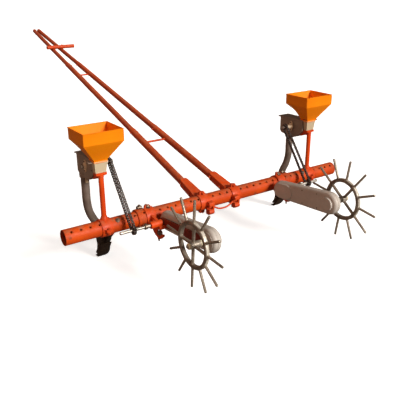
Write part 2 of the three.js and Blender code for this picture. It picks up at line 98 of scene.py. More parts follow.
# ---------- mesh helpers
def mesh_of(verts, faces):
    mesh = bpy.data.meshes.new("shape")
    mesh.from_pydata([tuple(v) for v in verts], [], faces)
    bm = bmesh.new()
    bm.from_mesh(mesh)
    bmesh.ops.recalc_face_normals(bm, faces=bm.faces)
    bm.to_mesh(mesh)
    bm.free()
    return mesh


def strip(a, b):
    """Faces between two closed loops of vertex numbers. A loop may be a single point."""
    count = max(len(a), len(b))
    faces = []
    for k in range(count):
        n = (k + 1) % count
        loop = [a[k % len(a)], a[n % len(a)], b[n % len(b)], b[k % len(b)]]
        face = [v for i, v in enumerate(loop) if v != loop[i - 1]]
        if len(face) > 2:
            faces.append(face)
    return faces


def loft(sections, closed=False):
    """Skin through outlines of 3-D points. Its ends are capped, or joined to each other if closed."""
    verts, rings = [], []
    for section in sections:
        rings.append(list(range(len(verts), len(verts) + len(section))))
        verts += section
    faces = [] if closed else [ring for ring in (rings[0], rings[-1]) if len(ring) > 1]
    for a, b in zip(rings, rings[1:] + rings[:1] if closed else rings[1:]):
        faces += strip(a, b)
    return mesh_of(verts, faces)


def turns(count):
    """Angles that share out a full turn."""
    return [2 * pi * k / count for k in range(count)]


def circle(centre, side, other, radius, sides):
    """Points of a circle in the plane of two unit vectors."""
    return [centre + side * (radius * cos(t)) + other * (radius * sin(t)) for t in turns(sides)]


def across(axis):
    """An axis and two more at right angles to it, all of unit length."""
    axis = Vector(axis).normalized()
    side = axis.orthogonal().normalized()
    return axis, side, axis.cross(side)


def lathe(profile, start, axis, sides=40, closed=False):
    """Surface turned about an axis. profile is (distance along the axis, radius)."""
    axis, side, other = across(axis)
    sections = []
    for distance, radius in profile:
        centre = Vector(start) + axis * distance
        sections.append(circle(centre, side, other, radius, sides) if radius else [centre])
    return loft(sections, closed)


def bar(p, q, radius, edge=0.8, sides=40):
    """Round bar from p to q with broken edges."""
    p, q = Vector(p), Vector(q)
    length = (q - p).length
    profile = [(0, 0), (0, radius - edge), (edge, radius), (length - edge, radius),
               (length, radius - edge), (length, 0)]
    return lathe(profile, p, q - p, sides)


def rod(radius, x0, x1, centre, edge=0.8, sides=40):
    """Round bar along X."""
    return bar((x0, *centre), (x1, *centre), radius, edge, sides)


def pipe(p, q, outer, inner, edge=0.8, sides=40):
    p, q = Vector(p), Vector(q)
    length = (q - p).length
    profile = [(0, inner + edge), (0, outer - edge), (edge, outer), (length - edge, outer),
               (length, outer - edge), (length, inner + edge), (length - edge, inner), (edge, inner)]
    return lathe(profile, p, q - p, sides, closed=True)


def ring_bead(centre, axis, radius, bead, sides=40, seed=0):
    """Weld bead: a small uneven torus."""
    axis, side, other = across(axis)
    rng = random.Random(seed)
    sections = []
    for turn in turns(sides):
        out = side * cos(turn) + other * sin(turn)
        size = bead * (0.85 + 0.3 * rng.random())
        sections.append(circle(Vector(centre) + out * radius, out, axis, size, 8))
    return loft(sections, closed=True)


def prism(outline, basis, depth0, depth1):
    """Flat outline swept along the third axis of basis = (origin, u, v, w)."""
    origin, u, v, w = (Vector(b) for b in basis)
    return loft([[origin + u * a + v * b + w * depth for a, b in outline] for depth in (depth0, depth1)])


ALONG_X, ALONG_Y, ALONG_Z = ((0, 0, 0), Y, Z, X), ((0, 0, 0), X, Z, Y), ((0, 0, 0), X, Y, Z)


def plate(outline, x0, x1):
    return prism(outline, ALONG_X, x0, x1)


def level(z, x, y):
    return [(x[0], y[0], z), (x[1], y[0], z), (x[1], y[1], z), (x[0], y[1], z)]


def box(x, y, z):
    return loft([level(z[0], x, y), level(z[1], x, y)])


def wide(half):
    """Range in X, by its half width about the middle of the unit."""
    return UNIT_U - half, UNIT_U + half


def stack(*levels):
    """Loft through upright unit sections: height, half width and range in Y of each."""
    return loft([level(z, wide(half), y) for z, half, y in levels])


def rounded(points, radius, steps=5):
    """Outline with its corners rounded; radius is one number or one per corner."""
    n = len(points)
    radii = radius if isinstance(radius, list) else [radius] * n
    tiny, straight = 0.05, 3.05      # millimetres, radians
    out = []
    for i, r in enumerate(radii):
        here = Vector(points[i])
        before, after = Vector(points[i - 1]) - here, Vector(points[(i + 1) % n]) - here
        corner = before.angle(after)
        back = min(r / tan(corner / 2), 0.49 * before.length, 0.49 * after.length)
        if r <= 0 or back < tiny or corner > straight:
            out.append(tuple(here))
            continue
        start, end = here + before.normalized() * back, here + after.normalized() * back
        for k in range(steps + 1):
            t = k / steps
            out.append(tuple(start * (1 - t) ** 2 + here * (2 * t * (1 - t)) + end * t * t))
    return out


def symmetric(side, radii, middle=0.0):
    """Rounded outline from one side of it, given as distances from its middle line."""
    return rounded([(middle + x, t) for x, t in side] + [(middle - x, t) for x, t in reversed(side)],
                   radii + radii[::-1])


def polar(centre, radius, turn):
    return centre[0] + radius * cos(turn), centre[1] + radius * sin(turn)


def arc(centre, radius, start, end, steps=24):
    return [polar(centre, radius, start + (end - start) * k / steps) for k in range(steps + 1)]


def belt(a, ra, b, rb, steps=28):
    """Outline round two circles, joined by their common tangents."""
    dy, dz = b[0] - a[0], b[1] - a[1]
    aim, lean = atan2(dz, dy), acos((ra - rb) / hypot(dy, dz))
    return (arc(b, rb, aim - lean, aim + lean, steps)
            + arc(a, ra, aim + lean, aim - lean + 2 * pi, steps))


def sweep(points, radius, sides=28, steps=8):
    """Round solid along a smooth curve; radius is a function of the share 0 to 1."""
    pts = [Vector(p) for p in points]
    path = []
    for i in range(len(pts) - 1):
        p0 = pts[i - 1] if i else pts[0] * 2 - pts[1]
        p3 = pts[i + 2] if i + 2 < len(pts) else pts[-1] * 2 - pts[-2]
        for k in range(steps):
            t = k / steps
            path.append(0.5 * (2 * pts[i] + (pts[i + 1] - p0) * t
                               + (2 * p0 - 5 * pts[i] + 4 * pts[i + 1] - p3) * t * t
                               + (3 * pts[i] - p0 - 3 * pts[i + 1] + p3) * t ** 3))
    path.append(pts[-1])
    last = len(path) - 1
    normal = (path[1] - path[0]).orthogonal().normalized()
    sections = []
    for i, p in enumerate(path):
        tangent = (path[min(i + 1, last)] - path[max(i - 1, 0)]).normalized()
        normal = (normal - tangent * normal.dot(tangent)).normalized()
        sections.append(circle(p, normal, tangent.cross(normal), radius(i / last), sides))
    return loft(sections)


def modified(mesh, kind, steps):
    """The mesh with modifiers of one kind applied. Each step is a dictionary of settings, in which
    a mesh is turned into an object."""
    ob = bpy.data.objects.new("work", mesh.copy())
    scene.collection.objects.link(ob)
    used = [ob]
    for settings in steps:
        step = ob.modifiers.new("step", kind)
        for key, value in settings.items():
            if isinstance(value, bpy.types.Mesh):
                value = bpy.data.objects.new("tool", value.copy())
                scene.collection.objects.link(value)
                used.append(value)
            setattr(step, key, value)
    bpy.context.view_layer.update()
    made = bpy.data.meshes.new_from_object(ob.evaluated_get(bpy.context.evaluated_depsgraph_get()))
    for ob in used:
        data = ob.data
        bpy.data.objects.remove(ob)
        bpy.data.meshes.remove(data)
    return made


def combine(base, others, operation):
    return modified(base, "BOOLEAN", [{"operation": operation, "solver": "MANIFOLD", "object": mesh}
                                      for mesh in others])


def join(base, *others):
    return combine(base, others, "UNION")


def cut(base, *others):
    return combine(base, others, "DIFFERENCE")


def bevelled(mesh, width=0.8, segments=2, angle=38):
    return modified(mesh, "BEVEL", [{"width": width, "segments": segments, "limit_method": "ANGLE",
                                     "angle_limit": angle * DEG, "use_clamp_overlap": True,
                                     "miter_outer": "MITER_ARC"}])


def gather(*meshes):
    """Several closed shells as one mesh."""
    bm = bmesh.new()
    for mesh in meshes:
        bm.from_mesh(mesh)
    whole = bpy.data.meshes.new("shape")
    bm.to_mesh(whole)
    bm.free()
    return whole


def moved(mesh, matrix):
    copy = mesh.copy()
    copy.transform(matrix)
    if matrix.determinant() < 0:
        copy.flip_normals()
    return copy


MIRROR = Matrix.Diagonal((-1, 1, 1, 1))
ROUND_BAR = rod(CLAMP_INNER, -BAR_HALF, BAR_HALF, (0, 0), 0.1, 64)      # cuts what fits the toolbar


def mark_wear(mesh):
    """Point attribute 'wear': how sharply the surface turns outwards at each vertex."""
    bm = bmesh.new()
    bm.from_mesh(mesh)
    values, least, width = [], 0.2, 0.5              # radians
    for v in bm.verts:
        bends = [e.calc_face_angle_signed(0.0) for e in v.link_edges if len(e.link_faces) == 2]
        values.append(min(1.0, max(0.0, (max(bends, default=0.0) - least) / width)))
    bm.free()
    attribute = mesh.attributes.new("wear", "FLOAT", "POINT")
    attribute.data.foreach_set("value", values)


def piece(name, mesh, body, slot, material, replaces=(), crease=32):
    """Mesh in the machine's millimetres becomes a piece of the scene, in metres."""
    made = mesh.copy()
    made.transform(Matrix.Translation(ORIGIN) @ Matrix.Scale(MM, 4))
    mark_wear(made)
    made.shade_smooth()
    made.set_sharp_from_angle(angle=crease * DEG)
    made.materials.clear()
    made.materials.append(material)
    made.name = name
    ob = bpy.data.objects.new(name, made)
    scene.collection.objects.link(ob)
    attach(ob, body)
    if replaces:
        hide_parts(*replaces)
    return ob


def pair(name, mesh, material, node=None, body="main_frame", crease=32, slot=None):
    """The same shape on both sides, from a mesh or a function of the side. The CAD node that it
    replaces is named without its side, and so is a body that each side has."""
    for side in SIDES:
        made = mesh(side) if callable(mesh) else mesh
        if side == "left":
            made = moved(made, MIRROR)
        owner = body if body in ("main_frame", "push_handle") else f"{side}_{body}"
        piece(f"{side}_{name}", made, owner, slot or SLOT_OF[material.name], material,
              [f"{side}_{node}"] if node else [], crease)


# ---------- materials
class Graph:
    """Small wrapper that keeps shader graphs readable."""

    def __init__(self, name):
        self.material = bpy.data.materials.new(name)
        self.material.use_nodes = True
        self.tree = self.material.node_tree
        self.shader = self.tree.nodes["Principled BSDF"]
        self.place = self.node("ShaderNodeTexCoord").outputs["Object"]

    def node(self, kind, **settings):
        made = self.tree.nodes.new(kind)
        for key, value in settings.items():
            setattr(made, key, value)
        return made

    def plug(self, socket, value):
        if isinstance(value, bpy.types.NodeSocket):
            self.tree.links.new(value, socket)
        elif isinstance(value, tuple) and len(value) == 3 and socket.type == "RGBA":
            socket.default_value = (*value, 1)
        else:
            socket.default_value = value

    def noise(self, scale, detail=4.0, rough=0.55, stretch=None, offset=0.0):
        vector = self.place
        if stretch or offset:
            mapping = self.node("ShaderNodeMapping")
            self.plug(mapping.inputs["Vector"], vector)
            mapping.inputs["Scale"].default_value = stretch or (1, 1, 1)
            mapping.inputs["Location"].default_value = (offset, offset * 0.7, offset * 1.3)
            vector = mapping.outputs["Vector"]
        made = self.node("ShaderNodeTexNoise")
        for key, value in (("Vector", vector), ("Scale", scale), ("Detail", detail),
                           ("Roughness", rough)):
            self.plug(made.inputs[key], value)
        return made.outputs["Fac"]

    def cells(self, scale):
        made = self.node("ShaderNodeTexVoronoi", feature="F1")
        self.plug(made.inputs["Vector"], self.place)
        made.inputs["Scale"].default_value = scale
        return made.outputs["Distance"]

    def math(self, operation, a, b, clamp=False):
        made = self.node("ShaderNodeMath", operation=operation, use_clamp=clamp)
        self.plug(made.inputs[0], a)
        self.plug(made.inputs[1], b)
        return made.outputs[0]

    def times(self, a, b, clamp=False):
        return self.math("MULTIPLY", a, b, clamp)

    def span(self, value, low_in, high_in, low_out=0.0, high_out=1.0, smooth=False):
        """The value's range stretched to a new one, and held at its ends."""
        made = self.node("ShaderNodeMapRange", interpolation_type="SMOOTHSTEP" if smooth else "LINEAR")
        for key, number in (("Value", value), ("From Min", low_in), ("From Max", high_in),
                            ("To Min", low_out), ("To Max", high_out)):
            self.plug(made.inputs[key], number)
        return made.outputs["Result"]

    def mix(self, share, a, b):
        made = self.node("ShaderNodeMix", data_type="RGBA")
        for socket, value in ((0, share), (6, a), (7, b)):
            self.plug(made.inputs[socket], value)
        return made.outputs[2]

    def wear(self):
        return self.node("ShaderNodeAttribute", attribute_name="wear").outputs["Fac"]

    def facing_up(self):
        made = self.node("ShaderNodeSeparateXYZ")
        self.plug(made.inputs[0], self.node("ShaderNodeNewGeometry").outputs["Normal"])
        return made.outputs["Z"]

    def bump(self, height, strength, distance, normal=None):
        made = self.node("ShaderNodeBump")
        made.inputs["Strength"].default_value = strength
        made.inputs["Distance"].default_value = distance
        self.plug(made.inputs["Height"], height)
        if normal is not None:
            self.plug(made.inputs["Normal"], normal)
        return made.outputs["Normal"]

    def finish(self, **inputs):
        for key, value in inputs.items():
            self.plug(self.shader.inputs[key.replace("_", " ")], value)
        return self.material


def enamel(name, base, deep, bare, rough=0.5, chips=0.3, dirt=0.35, dust=(0.42, 0.3, 0.2),
           coat=0.0, gloss=0.5):
    """Brushed or sprayed enamel over steel: mottled colour, worn edges, chips, scratches and dust."""
    g = Graph(name)
    cloud = g.span(g.noise(7.0, 5.0), 0.35, 0.68, smooth=True)
    fine = g.span(g.noise(90.0, 6.0, 0.65), 0.3, 0.72)
    colour = g.mix(g.times(cloud, 0.55), base, deep)
    colour = g.mix(g.times(fine, 0.22), colour, deep)
    grime = g.span(g.noise(24.0, 8.0, 0.7, offset=3.1), 0.56, 0.74, smooth=True)
    colour = g.mix(g.times(grime, dirt), colour, tuple(c * 0.3 for c in dust))
    up = g.span(g.facing_up(), 0.35, 1.0, smooth=True)
    settled = g.times(g.times(up, g.span(g.noise(38.0, 7.0), 0.42, 0.7)), dirt * 0.8)
    colour = g.mix(settled, colour, dust)
    edge = g.times(g.wear(), g.span(g.noise(150.0, 6.0, 0.7), 0.42, 0.62))
    pitted = g.span(g.noise(11.0, 3.0, offset=7.7), 0.55, 0.68)
    pits = g.times(g.span(g.cells(130.0), 0.16, 0.1), pitted)
    lines = g.span(g.noise(60.0, 3.0, 0.5, stretch=(0.12, 1.0, 1.0), offset=5.0), 0.715, 0.745)
    worn = g.math("MAXIMUM", edge, g.math("MAXIMUM", pits, g.times(lines, 0.7)))
    worn = g.times(worn, chips, clamp=True)
    colour = g.mix(worn, colour, bare)
    shine = g.math("ADD", g.span(fine, 0, 1, rough - 0.05, rough + 0.12), g.times(settled, 0.6))
    shine = g.math("ADD", shine, g.times(worn, 0.25), clamp=True)
    relief = g.bump(g.noise(420.0, 2.0), 0.12, 0.0006)
    relief = g.bump(g.math("SUBTRACT", 1.0, worn), 0.5, 0.0004, relief)
    return g.finish(Base_Color=colour, Roughness=shine, Normal=relief, Coat_Weight=coat,
                    Coat_Roughness=0.16, Specular_IOR_Level=gloss)


def steel(name, base, dark, rough=0.36, metal=1.0, rust=None, soil=0.3, brush=None):
    """Bare or plated steel: brushed grain, stains in patches, brighter worn edges."""
    g = Graph(name)
    patches = g.span(g.noise(18.0, 6.0, 0.6), 0.38, 0.66, smooth=True)
    colour = g.mix(patches, base, dark)
    if rust:
        spots = g.span(g.noise(46.0, 9.0, 0.7, offset=2.0), 0.5, 0.66, smooth=True)
        colour = g.mix(g.times(spots, soil), colour, rust)
    bright = g.times(g.wear(), g.span(g.noise(120.0, 4.0), 0.35, 0.6))
    colour = g.mix(g.times(bright, 0.75), colour, tuple(min(1.0, c * 1.6 + 0.08) for c in base))
    grain = g.noise(220.0, 3.0, 0.6, stretch=brush)
    shine = g.math("ADD", g.span(grain, 0.3, 0.7, rough - 0.08, rough + 0.1),
                   g.times(patches, 0.14), clamp=True)
    return g.finish(Base_Color=colour, Roughness=shine, Metallic=metal, Normal=g.bump(grain, 0.25, 0.0004))


def plastic(name, base, dark, rough):
    """Moulded or extruded plastic with fine texture, stains and dust on what faces up."""
    g = Graph(name)
    colour = g.mix(g.span(g.noise(12.0, 5.0), 0.35, 0.68, smooth=True), base, dark)
    specks = g.span(g.noise(140.0, 7.0, 0.7), 0.56, 0.7)
    colour = g.mix(g.times(specks, 0.35), colour, dark)
    up = g.times(g.span(g.facing_up(), 0.2, 1.0), g.span(g.noise(30.0), 0.4, 0.66))
    colour = g.mix(g.times(up, 0.4), colour, (0.5, 0.42, 0.33))
    colour = g.mix(g.times(g.wear(), 0.4), colour, tuple(min(1.0, c * 1.9 + 0.03) for c in base))
    shine = g.span(g.noise(60.0), 0.3, 0.7, rough - 0.07, rough + 0.1)
    return g.finish(Base_Color=colour, Roughness=shine, Normal=g.bump(g.noise(520.0, 3.0), 0.2, 0.0004))


UNDERCOAT = (0.09, 0.045, 0.03)
PAINT = enamel("frame_enamel", (0.76, 0.075, 0.004), (0.46, 0.03, 0.002), UNDERCOAT,
               rough=0.46, chips=0.45, dirt=0.45, dust=(0.46, 0.2, 0.1), coat=0.03, gloss=0.26)
BAR = enamel("bar_enamel", (0.68, 0.078, 0.004), (0.42, 0.032, 0.003), UNDERCOAT,
             chips=0.5, dirt=0.75, dust=(0.38, 0.17, 0.085), gloss=0.22)
# Frame paint darkened to deep maroon: painted shade, used on the wheel arm and the toolbar's end plugs
SHADED = enamel("painted_shade_enamel", (0.22, 0.018, 0.003), (0.12, 0.01, 0.002), UNDERCOAT,
                chips=0.45, dirt=0.6, dust=(0.3, 0.16, 0.1), gloss=0.3)
POLE = enamel("pole_enamel", (0.6, 0.075, 0.01), (0.36, 0.032, 0.005), UNDERCOAT,
              rough=0.46, chips=0.45, dirt=0.55, dust=(0.46, 0.24, 0.14), coat=0.05, gloss=0.3)
HOPPER = enamel("hopper_enamel", (1.0, 0.285, 0.0), (0.98, 0.23, 0.0), (0.5, 0.13, 0.02),
                dirt=0.03, gloss=0.2)
CASTING = enamel("cream_casting", (0.6, 0.49, 0.33), (0.48, 0.37, 0.24), (0.3, 0.22, 0.15),
                 rough=0.55, chips=0.4, dirt=0.25)
# Cream casting colour raised almost to white: partly its own cream, partly painted light on flanges that
# sit in shade
BEARING = enamel("cream_bearing_painted_light", (0.95, 0.78, 0.55), (0.8, 0.62, 0.42), (0.45, 0.33, 0.22), dirt=0.15)
PEACH = enamel("peach_collar", (0.82, 0.34, 0.12), (0.62, 0.24, 0.08), (0.4, 0.3, 0.2), dirt=0.2)
HOUSING = enamel("housing_coat", (0.31, 0.235, 0.18), (0.2, 0.145, 0.108), (0.36, 0.27, 0.2),
                 chips=0.4, dust=(0.42, 0.34, 0.26), coat=0.05)
CASE = enamel("case_coat", (0.58, 0.525, 0.475), (0.48, 0.425, 0.38), (0.34, 0.24, 0.17),
              chips=0.2, dirt=0.12, dust=(0.56, 0.48, 0.41), coat=0.06, gloss=0.4)
BLACK = enamel("opener_black", (0.02, 0.009, 0.005), (0.01, 0.005, 0.003), (0.14, 0.085, 0.045),
               chips=0.55, dirt=0.4, dust=(0.1, 0.05, 0.022), gloss=0.22)
ZINC = steel("bright_zinc", (0.78, 0.73, 0.66), (0.5, 0.44, 0.37), rough=0.34, metal=0.75,
             brush=(0.2, 1, 1))
BOLT = steel("bolt_steel", (0.26, 0.2, 0.15), (0.12, 0.085, 0.065), rough=0.42, rust=(0.16, 0.06, 0.03))
CHAIN_DARK = steel("chain_plates", (0.045, 0.03, 0.024), (0.018, 0.012, 0.01), metal=0.6,
                   rust=(0.08, 0.035, 0.018))
CHAIN_BRIGHT = steel("chain_pins", (0.5, 0.4, 0.3), (0.26, 0.19, 0.13), rough=0.32, metal=0.6)
WORN = steel("worn_steel", (0.3, 0.255, 0.2), (0.14, 0.11, 0.085), metal=0.4,
             rust=(0.12, 0.08, 0.05), soil=0.45)
# Light cream on the ring's outer face: painted highlight, with rust stains in patches
TREAD = steel("tread_painted_highlight", (0.74, 0.68, 0.57), (0.42, 0.36, 0.29), metal=0.25,
              rust=(0.2, 0.14, 0.09), soil=0.35)
TUBE = plastic("seed_tube_plastic", (0.18, 0.135, 0.11), (0.11, 0.08, 0.062), 0.5)
CAP = plastic("dust_cap", (0.72, 0.56, 0.35), (0.5, 0.36, 0.22), 0.45)

SLOTS = {"frame_paint": (PAINT, BAR, SHADED, POLE), "hopper_paint": (HOPPER,), "case_paint": (CASE,),
         "meter_casting": (CASTING, PEACH), "flange_casting": (BEARING, CAP), "housing_metal": (HOUSING,),
         "opener_steel": (BLACK,), "bright_steel": (ZINC, BOLT), "worn_steel": (WORN, TREAD),
         "chain_steel": (CHAIN_DARK, CHAIN_BRIGHT), "tube_plastic": (TUBE,)}
SLOT_OF = {material.name: slot for slot, materials in SLOTS.items() for material in materials}


# ---------- fasteners
WASHER = 1.6


def hexagon(at, axis, flats, height):
    """Hexagon head or nut standing on at, with its corners broken."""
    r, edge = flats / sqrt(3), 0.6
    return lathe([(0, 0), (0, r), (height - edge, r), (height, r - 1.6 * edge), (height, 0)], at, axis, 6)


def bolt(under_head, axis, size, grip):
    """Bolt, washers and nut through a grip; axis points from the head towards the nut."""
    axis = Vector(axis).normalized()
    start = Vector(under_head)
    end = start + axis * grip
    disc = [(0, 0), (0, size * 1.05), (WASHER, size * 1.05), (WASHER, 0)]
    return gather(
        hexagon(start - axis * WASHER, -axis, size * 1.6, size * 0.62),
        lathe(disc, start - axis * WASHER, axis, 24),
        lathe(disc, end, axis, 24),
        hexagon(end + axis * WASHER, axis, size * 1.6, size * 0.8),
        bar(start, end + axis * (size * 1.35 + WASHER), size / 2, 0.6, 16),
    )


def cap_screw(at, axis, size=6):
    """Screw head with its washer, standing on a surface."""
    axis = Vector(axis).normalized()
    at = Vector(at)
    return gather(
        lathe([(-0.4, 0), (-0.4, size), (1.2, size), (1.2, 0)], at, axis, 20),
        hexagon(at + axis * 1.2, axis, size * 1.55, size * 0.6),
    )


# ---------- toolbar
def toolbar():
    """Tube with a row of holes through both walls. Each wall is a grid of vertices with a square
    patch left open at each hole, and faces run from the patch's edge to the round hole."""
    cells, reach, around, edge = 6, 12.0, 22, 0.8
    patch = [reach * (2 * k / cells - 1) for k in range(cells + 1)]

    def angles(radius):
        spread = asin(reach / radius)
        found = []
        for middle in (HOLE_ANGLE, HOLE_ANGLE + pi):
            found += [middle + asin(t / radius) for t in patch[:-1]]
            found += [middle + spread + (pi - 2 * spread) * k / around for k in range(around)]
        return found

    xs, hole_at = [-BAR_HALF, -BAR_HALF + edge, -BAR_HALF + 18], {}
    for k in range(HOLE_COUNT):
        centre = (k - (HOLE_COUNT - 1) / 2) * HOLE_PITCH
        hole_at[len(xs)] = centre
        xs += [centre + t for t in patch]
        if k < HOLE_COUNT - 1:
            xs.append(centre + HOLE_PITCH / 2)
    xs += [BAR_HALF - 18, BAR_HALF - edge, BAR_HALF]
    ends = (0, len(xs) - 1)
    rows = (0, cells + around)      # where the patches of each row of holes start round the tube
    count = 2 * rows[1]
    drilled = {(i + a, j + b) for i in hole_at for j in rows for a in range(cells) for b in range(cells)}
    verts, faces, rings = [], [], ([], [])

    def add(points):
        verts.extend(points)
        return list(range(len(verts) - len(points), len(verts)))

    walls = ((BAR_RADIUS, -1), (BAR_BORE, 1))       # radius, and the way into the metal
    for layer, (radius, into) in enumerate(walls):
        for i, x in enumerate(xs):
            r = radius + edge * into * (i in ends)
            rings[layer].append(add([(x, *polar((0, 0), r, turn)) for turn in angles(radius)]))
        for i, (a, b) in enumerate(zip(rings[layer], rings[layer][1:])):
            faces += [face for j, face in enumerate(strip(a, b)) if (i, j) not in drilled]
    for i in ends:
        faces += strip(rings[0][i], rings[1][i])
    border = ([(a, 0) for a in range(cells)] + [(cells, b) for b in range(cells)]
              + [(cells - a, cells) for a in range(cells)] + [(0, cells - b) for b in range(cells)])
    spokes = [atan2(b - cells / 2, a - cells / 2) for a, b in border]
    for i, centre in hole_at.items():
        for row, j in enumerate(rows):
            rims = []
            for layer, (radius, into) in enumerate(walls):
                rim = [rings[layer][i + a][(j + b) % count] for a, b in border]
                for hole, depth in ((HOLE_RADIUS + 0.7, radius), (HOLE_RADIUS, radius + 0.5 * into)):
                    points = []
                    for spoke in spokes:
                        dx, side = polar((0, 0), hole, spoke)
                        turn = HOLE_ANGLE + pi * row + asin(side / radius)
                        points.append((centre + dx, *polar((0, 0), depth, turn)))
                    inner = add(points)
                    faces += strip(rim, inner)
                    rim = inner
                rims.append(rim)
            faces += strip(*rims)
    return mesh_of(verts, faces)


def painted_shade_plug():
    """Dished plug pressed into each end of the toolbar, dark as painted shade for the dark inside of the
    open tube.
    """
    lip = BAR_BORE + 0.1
    return lathe([(0, 0), (0, 28), (1.5, 34), (7, lip), (12, lip), (12, lip - 2), (6, 34), (3.5, 28),
                  (2, 24), (2, 0)], (BAR_HALF - 27, 0, 0), X, 72)


# ---------- clamps
def clamp_half(place, facing, outer=CLAMP_OUTER):
    """Half ring with an ear at each end. facing is the angle of its middle, from +Y towards +Z."""
    middle, half = place
    quarter, gap, ear = pi / 2, 0.006, 17.0
    outline = (arc((0, 0), outer, -quarter + gap, quarter - gap)
               + arc((0, 0), CLAMP_INNER, quarter - gap - 0.001, -quarter + gap + 0.001))
    ears = []
    for end in (1, -1):
        shape = rounded([(middle - ear, end * EAR_ROOT), (middle + ear, end * EAR_ROOT),
                         (middle + ear, end * EAR_REACH), (middle - ear, end * EAR_REACH)], [0, 0, 7, 7])
        ears.append(prism(shape, ALONG_Y, 0.3, 7.0))
    ring = join(plate(outline, middle - half, middle + half), *ears)
    return moved(bevelled(cut(ring, ROUND_BAR), 1.1), Matrix.Rotation(facing, 4, "X"))


def clamp_bolts(x, facing, size=9):
    """The two bolts through the ears of a pair of clamp halves."""
    turn = Matrix.Rotation(facing, 3, "X")
    return [bolt(turn @ Vector((x, EAR_FACE, end * EAR_BOLT)), turn @ Vector((0, -1, 0)), size,
                 2 * EAR_FACE) for end in (1, -1)]


# ---------- hopper and metering unit
def hopper():
    """Folded sheet. Each level is its height, its half width and its reach in Y."""
    outer = [(516, 104.3, (-69.6, 112.8)), (457, 104.3, (-69.6, 112.8)), (443, 94.3, (-61.7, 90.0)),
             (430, 85, (-54.3, 69.0)), (417, 75.8, (-46.8, 57.5)), (400, 63.3, (-37.0, 51.5)),
             (358.6, 33, (-11.7, 44))]
    wall, past = 2.2, 4             # the room is cut past the top and the foot
    room = [(z, half - wall, (y[0] + wall, y[1] - wall)) for z, half, y in outer]
    room[0] = (outer[0][0] + past, *room[0][1:])
    room[-1] = (outer[-1][0] - past, *room[-1][1:])
    lip = box(wide(106.3), (-71.6, 114.8), (513.6, 516))
    mouth = box(wide(102.1), (-67.4, 110.6), (500, 530))
    foot = box(wide(37), (-14, 46), (355.9, 359.4))
    throat = box(wide(29), (-8, 29), (340, 366))
    return bevelled(cut(join(stack(*outer), lip, foot), stack(*room), mouth, throat), 0.9, 2, 20)


def hopper_seams():
    """Folded and spot-welded corner seams: a thin bead down each front corner."""
    beads = []
    for side in (-1, 1):
        bend = Vector((UNIT_U + side * 104.3, -69.6, 457))
        foot = Vector((UNIT_U + side * 33, -11.7, 358.6))
        beads.append(sweep([bend.lerp(foot, t) for t in (0.0, 0.33, 0.66, 1.0)],
                           lambda s: 0.9 + 0.1 * sin(60 * s), 8, 14))
    for side in (-1, 1):
        beads.append(sweep([(UNIT_U + side * 104.3, -69.6, z) for z in (508, 490, 470, 458)],
                           lambda s: 0.8 + 0.1 * sin(50 * s), 8, 10))
    return gather(*beads)


def meter_front():
    body = stack((295, 28.5, (-6, 20)), (301, 29, (-7, 20)), (348, 34, (-12, 20)))
    well = stack((301, 23, (-1, 30)), (345, 28, (-7, 30)))
    inlet = box(wide(27), (-7, 30), (320, 360))
    ridge = bevelled(box(wide(30.4), (-8.5, 19.5), (296.5, 300)), 1.0)
    return gather(bevelled(cut(body, well, inlet), 2.6, 3, 60), ridge)


def meter_collar():
    """Flared neck between hopper and casting."""
    outer = stack((347.4, 36, (-13.5, 20)), (350.5, 37.5, (-14.5, 20)), (355.6, 35, (-13, 20)))
    return bevelled(cut(outer, box(wide(27), (-7, 30), (340, 360))), 1.0)


def slide_gate():
    """Pull tab of the slide plate between hopper and metering front, outboard."""
    tab = prism(rounded([(752, -2), (775, -4), (775, 14), (752, 12)], [0, 5, 5, 0]), ALONG_Z, 350.4, 352.6)
    lip = bevelled(box((772, 775), (-4, 14), (350.4, 356)), 0.6)
    return gather(bevelled(tab, 0.4), lip)


def meter_housing():
    outer = rounded([(20.3, 355.6), (20.3, 287), (50, 262), (95, 233), (150, 236), (208, 244),
                     (222, 256), (222, 347), (235, 347), (235, 353)],
                    [0, 2, 12, 22, 20, 10, 12, 2, 1, 2])
    inner = [(15.3, 350), (15.3, 300), (24.3, 290), (53, 266), (97, 238), (150, 241),
             (205, 248), (217, 258), (217, 348)]
    shell = cut(plate(outer, HOUSING_IN, HOUSING_OUT), plate(inner, HOUSING_IN + 4, HOUSING_OUT - 4))
    spout = lathe([(224, 0), (224, 26), (226, 27), (246, 27), (246, 0)], (TUBE_X, TUBE_Y, 0), Z)
    chute = bar((TUBE_X, TUBE_Y, 200), (TUBE_X, TUBE_Y, 256), 19)
    seat = bar((TUBE_X, TUBE_Y, 200), (TUBE_X, TUBE_Y, 240), 22.3)
    boss = rod(20, HOUSING_IN - 10, HOUSING_IN + 2, METER)
    bore = rod(SHAFT + 0.7, HOUSING_IN - 20, HOUSING_OUT + 20, METER)
    return bevelled(cut(join(shell, spout, boss), chute, seat, bore), 1.2)


def housing_trim():
    """Lid that overhangs the back, with a turned-down edge on each side."""
    x0, x1, sheet = HOUSING_IN - 3.5, HOUSING_OUT + 3.5, 2.0
    lid = plate(rounded([(49, 356.4), (222, 354.6), (232, 353.4), (238, 350), (238, 342), (235.8, 342),
                         (235.2, 348.4), (231, 350.6), (222, 351.6), (49, 354.0)], 0.9, 3), x0, x1)
    skirts = [plate([(49, 355.6), (222, 353.6), (222, 345), (49, 347.6)], a, a + sheet)
              for a in (x0, x1 - sheet)]
    return bevelled(join(lid, *skirts), 0.7)


def metering_screws():
    """Screws of the housing's side covers and of both bearing flanges."""
    spots = [(40, 300), (150, 250), (206, 262), (206, 326)]
    screws = [cap_screw((face, *spot), (direction, 0, 0), 3.8)
              for face, direction in ((HOUSING_OUT, 1), (HOUSING_IN, -1)) for spot in spots]
    for face, direction in ((FLANGE_OUT, 1), (FLANGE_IN, -1)):
        for end in (1, -1):
            at = (face + FLANGE_THICK * direction, METER[0], METER[1] + FLANGE_SCREW * end)
            screws.append(cap_screw(at, (direction, 0, 0), 5))
    return gather(*screws)


